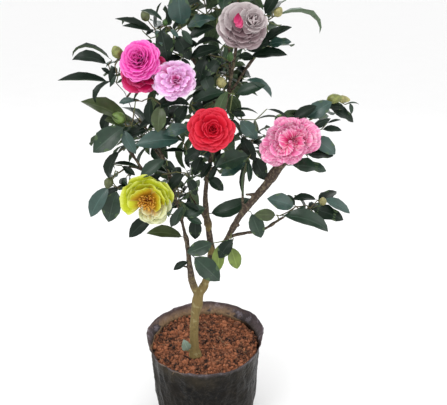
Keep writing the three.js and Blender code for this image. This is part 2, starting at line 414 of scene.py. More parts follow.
def sowing_rule():
    """A tree that sets shapes from a library on points that carry turn, size and shape."""
    rule = Rule("sown shapes", {
        "Geometry": "geometry", "Shapes": "set", "Growth": "number",
        "Upper finish": "finish", "Under finish": "finish"})
    shapes = rule.node("GeometryNodeCollectionInfo", None, {
        "Collection": rule.given("Shapes"), "Separate Children": True, "Reset Children": True})
    turn = rule.node("FunctionNodeEulerToRotation", None, {0: rule.stored("turn", "FLOAT_VECTOR")})
    size = rule.stored("size", "FLOAT_VECTOR") * rule.given("Growth")
    sown = rule.node("GeometryNodeInstanceOnPoints", None, {
        "Points": rule.given("Geometry"), "Instance": shapes, "Pick Instance": True,
        "Instance Index": rule.stored("shape", "INT"), "Rotation": turn, "Scale": size})
    upper = rule.end(sown, rule.given("Upper finish"))
    under = rule.node("GeometryNodeSetMaterial", None, {
        "Geometry": upper, "Selection": rule.stored("underside", "BOOLEAN"),
        "Material": rule.given("Under finish")})
    return rule.output(under)


# ---- Bag and soil ----------------------------------------------------------


class BagSettings(PropertyGroup):
    """Sizes and colours of the nursery bag."""
    film: size_setting("Film", "Thickness of the film", 0.8)
    crease: size_setting("Creases", "Depth of the folds in the wall", 4.2)
    colour: colour_setting("Film colour", "Colour of the clean film", "090807")
    dust: colour_setting("Dust", "Colour of the dried soil left inside the rim", "a58868")


class SoilSettings(PropertyGroup):
    """Sizes and colours of the soil."""
    crumbs: IntProperty(name="Crumbs", description="How many crumbs lie on the soil", default=4400)
    crumb: size_setting("Crumb size", "Mean size of a crumb", 3.4)
    light: colour_setting("Dry soil", "Colour of the dry crumbs", "aa6a48")
    # The damp colour is the soil's own dark tone, deepened to paint the shade between crumbs.
    dark: colour_setting("Damp soil", "Colour of the damp soil", "170a06")


SOIL_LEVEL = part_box("soil")[1].z
BAG_LOW, BAG_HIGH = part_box("bag")
BAG_REACH = (BAG_HIGH.x - BAG_LOW.x) / 2
# The wall's radius as a share of its widest reach, at shares of the soil's height.
BAG_WALL = ((0.0, 0.80), (0.33, 0.875), (1.0, 0.915))
RIM_SHARE = 0.98
RIM_HEIGHT = 180 * MM
RIM_TILT = 8 * MM


def bag_radius(height):
    """Mean radius of the bag's wall at a height."""
    if height >= SOIL_LEVEL:
        share = np.interp(height, (SOIL_LEVEL, RIM_HEIGHT), (BAG_WALL[-1][1], RIM_SHARE))
    else:
        levels, shares = zip(*BAG_WALL)
        share = np.interp(height / SOIL_LEVEL, levels, shares)
    return share * BAG_REACH


def rim_rise(turn):
    """How far the rim stands above its mean height at an angle round the bag."""
    return RIM_TILT * math.sin(turn) + 1.5 * MM * math.sin(3 * turn + 0.4)


def crinkle(spot, crease):
    """How far the film is pushed out at a place on the wall."""
    tall = Vector((spot.x * 34, spot.y * 34, spot.z * 9))
    slant = Vector((spot.x * 52, spot.y * 52, spot.z * 30 + spot.x * 24))
    fine = spot * 150
    folds = 0.55 - abs(noise.noise(tall)) * 1.9
    slants = 0.30 - abs(noise.noise(slant + Vector((7, 0, 0)))) * 1.1
    return crease * (folds + slants + 0.22 * noise.noise(fine))


def bag_point(turn, share, inner, settings):
    """A point of the film: share 0 is the foot, 1 is the rim."""
    rise = rim_rise(turn)
    height = share * (RIM_HEIGHT + rise)
    lift = max(0.0, (height - SOIL_LEVEL) / (RIM_HEIGHT - SOIL_LEVEL))
    radius = bag_radius(min(height, RIM_HEIGHT))
    radius += min(lift, 1.2) * 3 * MM * (math.sin(2 * turn + 0.6) + 0.6 * math.sin(5 * turn))
    foot = 1 - min(1.0, height / (9 * MM))
    radius -= 7 * MM * foot ** 2
    flat = Vector((math.cos(turn), math.sin(turn), 0))
    spot = flat * radius + Vector((0, 0, height))
    held = min(1.0, height / (16 * MM))
    outward = crinkle(spot, settings.crease) * held * (0.65 - 0.2 * min(lift, 1.0))
    outward += 0.8 * MM * math.sin(9 * turn + 2 * math.sin(3 * turn)) * min(lift, 1.0)
    return spot + flat * (outward - (settings.film if inner else 0.0))


def make_bag_mesh(settings):
    """The film bag: a creased wall, a wavy rim, and an inside that runs down behind the soil."""
    around = 360
    outer = [(s, False) for s in np.linspace(0, 1, 84)]
    inner = [(s, True) for s in np.linspace(1, 0.82, 26)]
    points = []
    for share, inside in outer + inner:
        for i in range(around):
            points.append(bag_point(math.tau * i / around, float(share), inside, settings))
    rings = len(outer) + len(inner)
    faces = [[a, b, d, c] for a, b, c, d in belts(0, rings - 1, around)]
    faces.append(list(reversed(range(around))))
    faces.append([(rings - 1) * around + i for i in range(around)])
    return mesh_from("bag_film", points, faces)


def paint_film(settings):
    """Soft black film: pale speckled patches, a painted sheen and glints on the rim, and inside the rim dried
    soil and a painted shadow.
    """
    paint = Paint("black film")
    place = paint.place()
    height = paint.part(place, "Z")
    broad = paint.cloud(place, 22, 4)
    # Lighter speckled patches scattered over the whole film.
    light_mottle = paint.stretch(paint.cloud(place, 160, 6, 0.7), 0.48, 0.72)
    haze = paint.stretch(broad, 0.38, 0.68)
    film = paint.blend(haze * 0.75, settings.colour, rgb("1a1610"))
    film = paint.blend(light_mottle * 0.5, film, rgb("403b33"))
    low = paint.stretch(height, 0.0, 0.05, 1.0, 0.0) * paint.stretch(broad, 0.35, 0.6)
    film = paint.blend(low * 0.5, film, rgb("3d3229"))
    facing = paint.node("ShaderNodeNewGeometry", output=1)
    spread = paint.node("ShaderNodeVectorMath", {"operation": "DOT_PRODUCT"}, {0: facing, 1: place}, 1)
    inside = paint.stretch(spread, -0.002, -0.02)
    upper = paint.stretch(height, SOIL_LEVEL - 34 * MM, SOIL_LEVEL - 6 * MM)
    film = paint.blend(upper * (0.10 + 0.3 * haze), film, rgb("4a4234"))
    flare = paint.stretch(height, SOIL_LEVEL - 4 * MM, SOIL_LEVEL + 12 * MM)
    # Painted sheen: the flared rim and the inner wall above the soil turn a lighter grey-violet, as black
    # film looks where it catches the light.
    film = paint.blend(flare * (0.35 + 0.3 * haze + 0.15 * inside), film, rgb("71656a"))
    # Painted glints: pale lilac-white patches on the rim.
    painted_rim_glint = paint.stretch(paint.cloud(place, 70, 5, 0.7), 0.50, 0.66)
    film = paint.blend(painted_rim_glint * flare * 0.5, film, rgb("a39ba6"))
    band = paint.stretch(height, SOIL_LEVEL + 2 * MM, SOIL_LEVEL + 20 * MM, 1.0, 0.0)
    speck = paint.stretch(paint.cloud(place, 240, 6, 0.7), 0.36, 0.64)
    # The mask below is 1 on the left and middle of the inner wall, where dried soil shows, and 0 at the
    # right, where the painted shadow lies.
    clear_of_shadow = paint.stretch(paint.part(place, "X"), 0.050, 0.090, 1.0, 0.0)
    dusty = inside * clear_of_shadow * (band * 0.75 + 0.08) * (0.6 + 0.4 * speck)
    colour = paint.blend(dusty, film, settings.dust)
    # Painted shadow: a dark band above the soil on the inner wall at the right, where the soil dips away from
    # the film.
    colour = paint.blend(inside * (1.0 - clear_of_shadow) * band * 0.8, colour, rgb("1c1410"))
    crease = paint.cloud(place, 95, 5, 0.62)
    relief = paint.bump(crease, 3.0 * MM, 0.9)
    return paint.surface(
        Base_Color=colour, Roughness=0.30 + 0.3 * haze + 0.3 * dusty, Normal=relief,
        Specular_IOR_Level=0.11)


def trunk_foot():
    """Middle of the trunk's foot on the soil."""
    low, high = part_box("trunk")
    feet = [v.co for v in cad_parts["trunk"].data.vertices if v.co.z < low.z + 0.5 * MM]
    return sum(feet, Vector()) / len(feet)


TRUNK_FOOT = trunk_foot()


# The soil's bed: how far it lies below its level, the mound at the trunk, and how deep it goes.
BED_DROP = 4.5 * MM
MOUND_HEIGHT = 3.5 * MM
MOUND_REACH = 30 * MM
BED_DEPTH = 26 * MM


def soil_height(x, y):
    """Height of the soil's bed: a low mound at the trunk and a crumbly, uneven spread."""
    trunk = TRUNK_FOOT
    near = math.exp(-((x - trunk.x) ** 2 + (y - trunk.y) ** 2) / MOUND_REACH ** 2)
    spot = Vector((x * 26, y * 26, 3.1))
    lumps = 2.4 * MM * noise.noise(spot) + 1.3 * MM * noise.noise(spot * 3.4)
    edge = max(0.0, math.hypot(x, y) / (0.86 * BAG_REACH) - 0.8)
    return SOIL_LEVEL - BED_DROP + MOUND_HEIGHT * near + lumps + 12 * MM * edge ** 2


def make_soil_mesh():
    """The bed of soil, a solid that fills the bag up to its uneven surface."""
    around, rings = 120, 44
    points = [Vector((0, 0, soil_height(0, 0)))]
    for r in range(1, rings + 1):
        for i in range(around):
            turn = math.tau * i / around
            radius = (bag_radius(SOIL_LEVEL) - 2.5 * MM) * r / rings
            x, y = radius * math.cos(turn), radius * math.sin(turn)
            points.append(Vector((x, y, soil_height(x, y))))
    floor = SOIL_LEVEL - BED_DEPTH
    for i in range(around):
        edge = points[1 + (rings - 1) * around + i]
        points.append(Vector((edge.x * 0.985, edge.y * 0.985, floor)))
    faces = [[0, 1 + i, 1 + (i + 1) % around] for i in range(around)]
    faces += [[a, c, d, b] for a, b, c, d in belts(1, rings, around)]
    last = 1 + rings * around
    faces.append([last + i for i in reversed(range(around))])
    return mesh_from("soil_bed", points, faces)


def crumb_shapes():
    """Small rough lumps, a unit across."""
    shapes = []
    for order in range(5):
        lump = bmesh.new()
        bmesh.ops.create_icosphere(lump, subdivisions=1 if order < 3 else 2, radius=0.5)
        for v in lump.verts:
            v.co *= 1 + 0.55 * noise.noise(v.co * 3.1 + Vector((5.3 * order, 0, 0)))
            v.co.z *= 0.8
        shape = bpy.data.meshes.new("crumb")
        lump.to_mesh(shape)
        lump.free()
        shapes.append(shape)
    return shapes


def strand_shapes():
    """Dry root and straw ends, a unit long."""
    shapes = []
    for order in range(3):
        bow = 0.12 + 0.1 * order
        rows = np.linspace(0, 1, 7)
        shapes.append(shell("strand", rows, 2, lambda t, s: (
            bow * math.sin(math.pi * t) + 0.022 * s, t, 0.05 * math.sin(5 * t + order)), 0.03))
    return shapes


def soil_spots(count, rng):
    """Random places on the soil."""
    reach = bag_radius(SOIL_LEVEL) - 4 * MM
    spots = []
    for _ in range(count):
        radius = reach * math.sqrt(rng.random())
        turn = math.tau * rng.random()
        x, y = radius * math.cos(turn), radius * math.sin(turn)
        spots.append(Vector((x, y, soil_height(x, y))))
    return spots


def paint_soil(name, settings, lightness):
    """Damp crumbly soil, its dark patches deepened as painted shade between the crumbs."""
    paint = Paint(name)
    place = paint.place()
    mottle = paint.stretch(paint.cloud(place, 150, 5, 0.7), 0.40, 0.62)
    broad = paint.stretch(paint.cloud(place, 38, 3), 0.38, 0.64)
    # Mottled between the light colour and the dark one, whose depth paints the shade between crumbs.
    colour = paint.blend(mottle * 0.55 + broad * 0.38 + lightness, settings.dark, settings.light)
    speck = paint.stretch(paint.cells(place, 420), 0.16, 0.05)
    colour = paint.blend(speck * 0.6, colour, rgb("d8aa8c"))
    grain = paint.cloud(place, 900, 3, 0.7)
    return paint.surface(Base_Color=colour, Roughness=0.95, Normal=paint.bump(grain, 0.8 * MM, 0.9))


class CAMELLIA_OT_bag(Operator):
    """Make the nursery bag"""
    bl_idname = "camellia.bag"
    bl_label = "Bag"

    def execute(self, context):
        settings = context.scene.camellia_bag
        mesh = make_bag_mesh(settings)
        mesh.materials.append(paint_film(settings))
        add_piece("bag_film", mesh, ["bag"])
        return {"FINISHED"}


class CAMELLIA_OT_soil(Operator):
    """Make the soil, its crumbs and the dry strands on it"""
    bl_idname = "camellia.soil"
    bl_label = "Soil"

    def execute(self, context):
        settings = context.scene.camellia_soil
        rng = random.Random(41)
        bed = make_soil_mesh()
        bed.materials.append(paint_soil("damp soil", settings, 0.0))
        add_piece("soil_bed", bed, ["soil"])
        rule = sowing_rule()
        for name, share, lightness in (("soil_crumbs", 0.66, -0.06), ("soil_dry_crumbs", 0.34, 0.42)):
            spots = soil_spots(int(settings.crumbs * share), rng)
            sizes = [settings.crumb * rng.lognormvariate(0, 0.42) for _ in spots]
            base = scatter_mesh(
                [p + Vector((0, 0, 0.2 * s)) for p, s in zip(spots, sizes)],
                turn=[[rng.uniform(0, math.tau) for _ in range(3)] for _ in spots],
                size=[[s, s * rng.uniform(0.7, 1), s * rng.uniform(0.7, 1)] for s in sizes],
                shape=[rng.choice((0, 1, 2)) if s < 4.5 * MM else rng.choice((3, 4)) for s in sizes])
            finish = paint_soil(name.replace("_", " "), settings, lightness)
            mesh = grow_by_rule(base, rule, {
                "Shapes": library(name, crumb_shapes()), "Growth": 1.0,
                "Upper finish": finish, "Under finish": finish})
            add_piece(name, mesh)
        self.make_strands(rule, rng)
        return {"FINISHED"}

    def make_strands(self, rule, rng):
        """Lays the pale strands among the crumbs."""
        spots = soil_spots(55, rng)
        base = scatter_mesh(
            [p + Vector((0, 0, rng.uniform(1.5, 3) * MM)) for p in spots],
            turn=[[rng.gauss(0, 0.25), rng.gauss(0, 0.3), rng.uniform(0, math.tau)] for _ in spots],
            size=[[rng.uniform(7, 20) * MM] * 3 for _ in spots],
            shape=[rng.randrange(3) for _ in spots])
        paint = Paint("dry strands")
        tone = paint.cloud(paint.place(), 120)
        straw = paint.surface(Base_Color=paint.blend(tone, rgb("8a6a4c"), rgb("b89a78")), Roughness=0.9)
        mesh = grow_by_rule(base, rule, {
            "Shapes": library("strand", strand_shapes()), "Growth": 1.0,
            "Upper finish": straw, "Under finish": straw})
        add_piece("soil_strands", mesh)


# ---- Wood ------------------------------------------------------------------


class WoodSettings(PropertyGroup):
    """Bark of the trunk, stems and boughs."""
    relief: size_setting("Relief", "Depth of the bark's ridges", 0.7)
    knots: size_setting("Knots", "Height of the swellings along a bough", 2.2)
    trunk: colour_setting("Trunk colour", "Colour of the old bark", "746337")
    bough: colour_setting("Bough colour", "Colour of the bark high up", "3a2d24")


def limb_names():
    """The nodes of the trunk and all its limbs."""
    return sorted(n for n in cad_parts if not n.startswith(("foliage_", "bag", "soil")))


# How much stouter than the model some limbs are, in mm at shares of their height.
STOUT = {
    "trunk": ((0.0, 0.4), (0.3, 1.2), (0.7, 1.8), (1.0, 4.0)),
    "left_stem": ((0.0, 3.2), (0.08, 2.6), (0.16, 1.2), (0.28, 0.2), (0.42, -1.4), (1.0, -1.0)),
    "centre_stem": ((0.0, 3.6), (0.1, 2.2), (0.24, 1.9), (0.33, 0.4), (1.0, 0.4)),
    "right_bough": ((0.0, -1.2), (0.2, -0.6), (0.4, 1.8), (0.6, 2.8), (1.0, 2.8)),
    "low_right_bough": ((0.0, 1.0), (1.0, 0.6)),
}
# A bow in part of a limb: where it starts and ends, as shares of its height, and its depth in mm.
BOWED = {
    "right_bough": (0.45, 1.0, (6.0, 0.0, -1.0)), "left_stem": (0.0, 0.3, (-3.4, 0.0, 0.0)),
    "low_right_bough": (0.1, 1.0, (5.0, 0.0, 0.0)),
}
# How dark the bark is, from 0 for old and olive to 1 for brown, at shares of a limb's height: partly the
# bark's own brown, partly painted shade on the stems.
BARK_DARKENING = {
    "trunk": ((0.0, 0.0), (1.0, 0.05)), "left_stem": ((0.0, 0.1), (0.08, 0.55), (0.35, 1.0)),
    "centre_stem": ((0.0, 0.0), (0.24, 0.05), (0.31, 1.0)), "basal_shoot": ((0.0, 0.2), (1.0, 0.2)),
}
SKIN_VOXEL = 1.0 * MM
SKIN_SMOOTHING = 9
EVENLY_STOUT = ((0.0, 0.4), (1.0, 0.4))
EVENLY_BROWN = ((0.0, 1.0), (1.0, 1.0))
# Ends of lost shoots: limb, share of its height, where they point, length and radius in mm.
SNAGS = (
    ("right_bough", 0.64, (-1.0, -0.2, 0.1), 11, 2.6), ("right_bough", 0.40, (0.9, -0.3, 0.3), 7, 2.2),
    ("left_stem", 0.16, (-0.8, -0.5, 0.5), 5, 1.6), ("trunk", 0.52, (0.7, -0.7, 0.3), 5, 2.2),
    ("centre_stem", 0.27, (-0.7, -0.6, 0.5), 6, 1.8),
)


def along_limb(name, heights, profile):
    """What a limb's profile says at some heights."""
    low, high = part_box(name)
    return np.interp((np.array(heights) - low.z) / (high.z - low.z), *zip(*profile))


def add_limb(gathered, name):
    """Adds one limb's skin, made stouter, to the gathered ones."""
    limb = bmesh.new()
    limb.from_mesh(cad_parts[name].data)
    bmesh.ops.remove_doubles(limb, verts=limb.verts, dist=0.01 * MM)
    limb.normal_update()
    growths = along_limb(name, [v.co.z for v in limb.verts], STOUT.get(name, EVENLY_STOUT))
    start, end, depth = BOWED.get(name, (0.0, 1.0, (0.0, 0.0, 0.0)))
    bows = along_limb(name, [v.co.z for v in limb.verts], ((start, 0.0), (end, math.pi)))
    for v, growth, bow in zip(limb.verts, growths, bows):
        v.co += v.normal * float(growth) * MM + Vector(depth) * math.sin(bow) * MM
    grown = bpy.data.meshes.new("limb")
    limb.to_mesh(grown)
    limb.free()
    gathered.from_mesh(grown)


def add_snag(gathered, name, share, heading, length, radius):
    """Adds the blunt end of a lost shoot to the gathered limbs."""
    low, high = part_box(name)
    height = low.z + share * (high.z - low.z)
    near = [v.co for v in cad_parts[name].data.vertices]
    near = sorted(near, key=lambda spot: abs(spot.z - height))[:24]
    middle = sum(near, Vector()) / len(near)
    heading = Vector(heading).normalized()
    reach = (length + 4) * MM
    turn = heading.to_track_quat("Z", "Y").to_matrix().to_4x4()
    place = Matrix.Translation(middle + heading * reach / 2) @ turn
    bmesh.ops.create_cone(
        gathered, cap_ends=True, segments=10, radius1=radius * 1.3 * MM, radius2=radius * 0.7 * MM,
        depth=reach, matrix=place)


def make_wood_mesh(settings):
    """One skin over the trunk, stems and boughs, with knots and the bark's relief."""
    gathered = bmesh.new()
    for name in limb_names():
        add_limb(gathered, name)
    for snag in SNAGS:
        add_snag(gathered, *snag)
    mesh = bpy.data.meshes.new("wood")
    gathered.to_mesh(mesh)
    gathered.free()
    body = bpy.data.objects.new("wood_body", mesh)
    bpy.context.scene.collection.objects.link(body)
    remesh = body.modifiers.new("skin", "REMESH")
    remesh.mode = "VOXEL"
    remesh.voxel_size = SKIN_VOXEL
    remesh.use_smooth_shade = True
    smooth = body.modifiers.new("round", "SMOOTH")
    smooth.iterations = SKIN_SMOOTHING
    smooth.factor = 0.6
    graph = bpy.context.evaluated_depsgraph_get()
    skin = bpy.data.meshes.new_from_object(body.evaluated_get(graph), depsgraph=graph)
    bpy.data.objects.remove(body)
    carve_bark(skin, settings)
    return skin


def carve_bark(skin, settings):
    """Pushes the skin in and out: long ridges up the limbs, and a knot here and there."""
    places = [v.co.copy() for v in skin.vertices]
    normals = [v.normal.copy() for v in skin.vertices]
    carved = []
    for spot, normal in zip(places, normals):
        grain = noise.noise(Vector((spot.x * 420, spot.y * 420, spot.z * 90)))
        pits = noise.noise(spot * 700)
        knot = max(0.0, noise.noise(spot * 46 + Vector((0, 0, 9))) - 0.1)
        low = math.exp(-max(0.0, spot.z - SOIL_LEVEL) / (90 * MM))
        push = settings.relief * (0.7 * grain + 0.4 * pits) * (0.7 + 0.6 * low)
        carved.append(spot + normal * (push + settings.knots * knot * 2))
    skin.vertices.foreach_set("co", np.array(carved).ravel())
    skin.update()
    mark_darkening(skin, places)


def mark_darkening(skin, places):
    """Stores how dark the bark is on every point of the skin, by the limb that it lies on."""
    spots = [(v.co, name) for name in limb_names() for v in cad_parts[name].data.vertices]
    limbs = KDTree(len(spots))
    for order, (spot, _) in enumerate(spots):
        limbs.insert(spot, order)
    limbs.balance()
    owners = np.array([spots[limbs.find(spot)[1]][1] for spot in places])
    heights = np.array([spot.z for spot in places])
    darkening = np.zeros(len(places))
    for name in limb_names():
        mine = owners == name
        darkening[mine] = along_limb(name, heights[mine], BARK_DARKENING.get(name, EVENLY_BROWN))
    skin.attributes.new("age", "FLOAT", "POINT").data.foreach_set("value", darkening)


def paint_bark(settings):
    """Smooth olive bark at the foot that darkens to brown among the boughs, the darkening partly painted
    shade on the stems.
    """
    paint = Paint("camellia bark")
    place = paint.place()
    patch = paint.cloud(place, 60, 4)
    # The stored darkness is partly the bark's own brown and partly painted shade on the stems.
    climb = paint.stretch(paint.attribute("age") + (patch - 0.5) * 0.5, 0.1, 0.9)
    colour = paint.blend(climb, settings.trunk, settings.bough)
    streak = paint.node("ShaderNodeMapping", None, {"Vector": place, "Scale": (420, 420, 40)})
    grain = paint.cloud(streak, 1, 4, 0.65)
    colour = paint.blend(paint.stretch(grain, 0.5, 0.72) * 0.5, colour, rgb("3c3220"))
    cracked = paint.stretch(paint.cells(paint.place(), 230), 0.50, 0.75) * climb
    colour = paint.blend(cracked * 0.4, colour, rgb("83745e"))
    lichen = paint.stretch(paint.cloud(place, 130, 4), 0.56, 0.66)
    colour = paint.blend(lichen * (0.4 - 0.2 * climb), colour, rgb("a39c72"))
    return paint.surface(
        Base_Color=colour, Roughness=0.72 + 0.2 * grain, Normal=paint.bump(grain, 0.7 * MM, 0.8))


class CAMELLIA_OT_wood(Operator):
    """Make the barked trunk, stems and boughs"""
    bl_idname = "camellia.wood"
    bl_label = "Trunk and boughs"

    def execute(self, context):
        settings = context.scene.camellia_wood
        mesh = make_wood_mesh(settings)
        mesh.materials.append(paint_bark(settings))
        add_piece("barked_wood", mesh, limb_names())
        return {"FINISHED"}


# ---- Leaves ----------------------------------------------------------------


class LeafSettings(PropertyGroup):
    """Sizes and colours of the leaves."""
    growth: FloatProperty(
        name="Growth", description="Scale of every leaf", default=1.0, min=0.5, max=1.5, subtype="FACTOR")
    deep: colour_setting("Deep", "Old leaves in shade", "122217")
    mid: colour_setting("Mid", "Leaves in plain light", "23392a")
    blue: colour_setting("Blue", "Leaves that hold the sky", "2c4a42")
    olive: colour_setting("Olive", "Leaves turned from the light", "3f4c2a")
    young: colour_setting("Young", "This year's leaves", "6f823a")
    # Pale: a light grey-green for a few leaves.
    pale: colour_setting("Pale", "Faded leaves", "78897a")


Form = namedtuple("Form", "name width lift droop hook fold twist sway wave")
FORMS = (
    Form("flat", 0.45, 14, 22, 1.2, 20, 6, 0.02, 0.02),
    Form("arched", 0.43, 34, 44, 1.3, 24, 0, 0.03, 0.02),
    Form("hooked", 0.38, 30, 85, 2.2, 26, 8, 0.00, 0.02),
    Form("folded", 0.43, 10, 32, 1.0, 52, 0, 0.04, 0.02),
    Form("broad", 0.58, 10, 24, 1.2, 16, 4, 0.00, 0.04),
    Form("twisted", 0.45, 16, 34, 1.0, 20, 60, 0.05, 0.00),
    Form("narrow", 0.27, 20, 38, 1.4, 24, 10, 0.03, 0.00),
    Form("wavy", 0.48, 14, 28, 1.0, 14, 14, 0.00, 0.08),
    Form("curled", 0.48, 22, 48, 1.3, -34, 0, 0.00, 0.02),
    Form("swept", 0.43, 16, 30, 1.0, 22, 12, 0.12, 0.02),
    Form("straight", 0.34, 5, 9, 1.0, 30, 6, 0.02, 0.01),
)
FORM_ORDER = {form.name: order for order, form in enumerate(FORMS)}
LEAF_GLOSS = {"deep": 0.22, "mid": 0.4, "blue": 0.6, "olive": 0.4, "young": 0.4, "pale": 0.5}
BLADE_LENGTH = 70 * MM
BLADE_ROWS = (0.0, 0.08, 0.17, 0.30, 0.46, 0.62, 0.78, 0.90, 1.0)
STALK_SHARE = 0.08
STALK_HALF = 0.012


def blade_half_width(t, width):
    """Half the leaf's width at t along it: a thin stalk, then an ellipse drawn out to a point."""
    if t <= STALK_SHARE:
        return STALK_HALF
    t = (t - STALK_SHARE) / (1 - STALK_SHARE)
    return max(0.004, width / 2 * 2.28 * t ** 0.68 * (1 - t ** 1.7) ** 1.02)


def make_blade(form):
    """One leaf of the library, its stalk at the origin and its tip on +Y."""
    line = bend_line(form.lift, form.droop, form.hook)
    fold = math.radians(form.fold)

    def place(t, s):
        half = blade_half_width(t, form.width)
        y, z, slope = line(t)
        out = s * half * math.cos(fold)
        rise = abs(s) ** 1.5 * half * math.sin(fold)
        rise += form.wave * s * math.sin(4 * math.pi * t) * half * 4
        roll = math.radians(form.twist) * (t - 0.3)
        x = out * math.cos(roll) - rise * math.sin(roll) + form.sway * math.sin(math.pi * t)
        rise = out * math.sin(roll) + rise * math.cos(roll)
        spot = (x, y - rise * math.sin(slope), z + rise * math.cos(slope))
        return tuple(BLADE_LENGTH * v for v in spot)

    return shell(f"blade_{form.name}", BLADE_ROWS, 4, place, 0.7 * MM)


# One leaf of a spray: its stalk's end in shares of its mass's width and height, where it heads in
# degrees (0 right, 90 up), its length in mm, form and tint, how far its face rolls up from the
# front, how far it leans to the front, and how deep in the mass it starts, from 0 at the front.
Leaf = namedtuple("Leaf", "x z heading length form tint roll lean depth", defaults=(20, 10, 0.4))

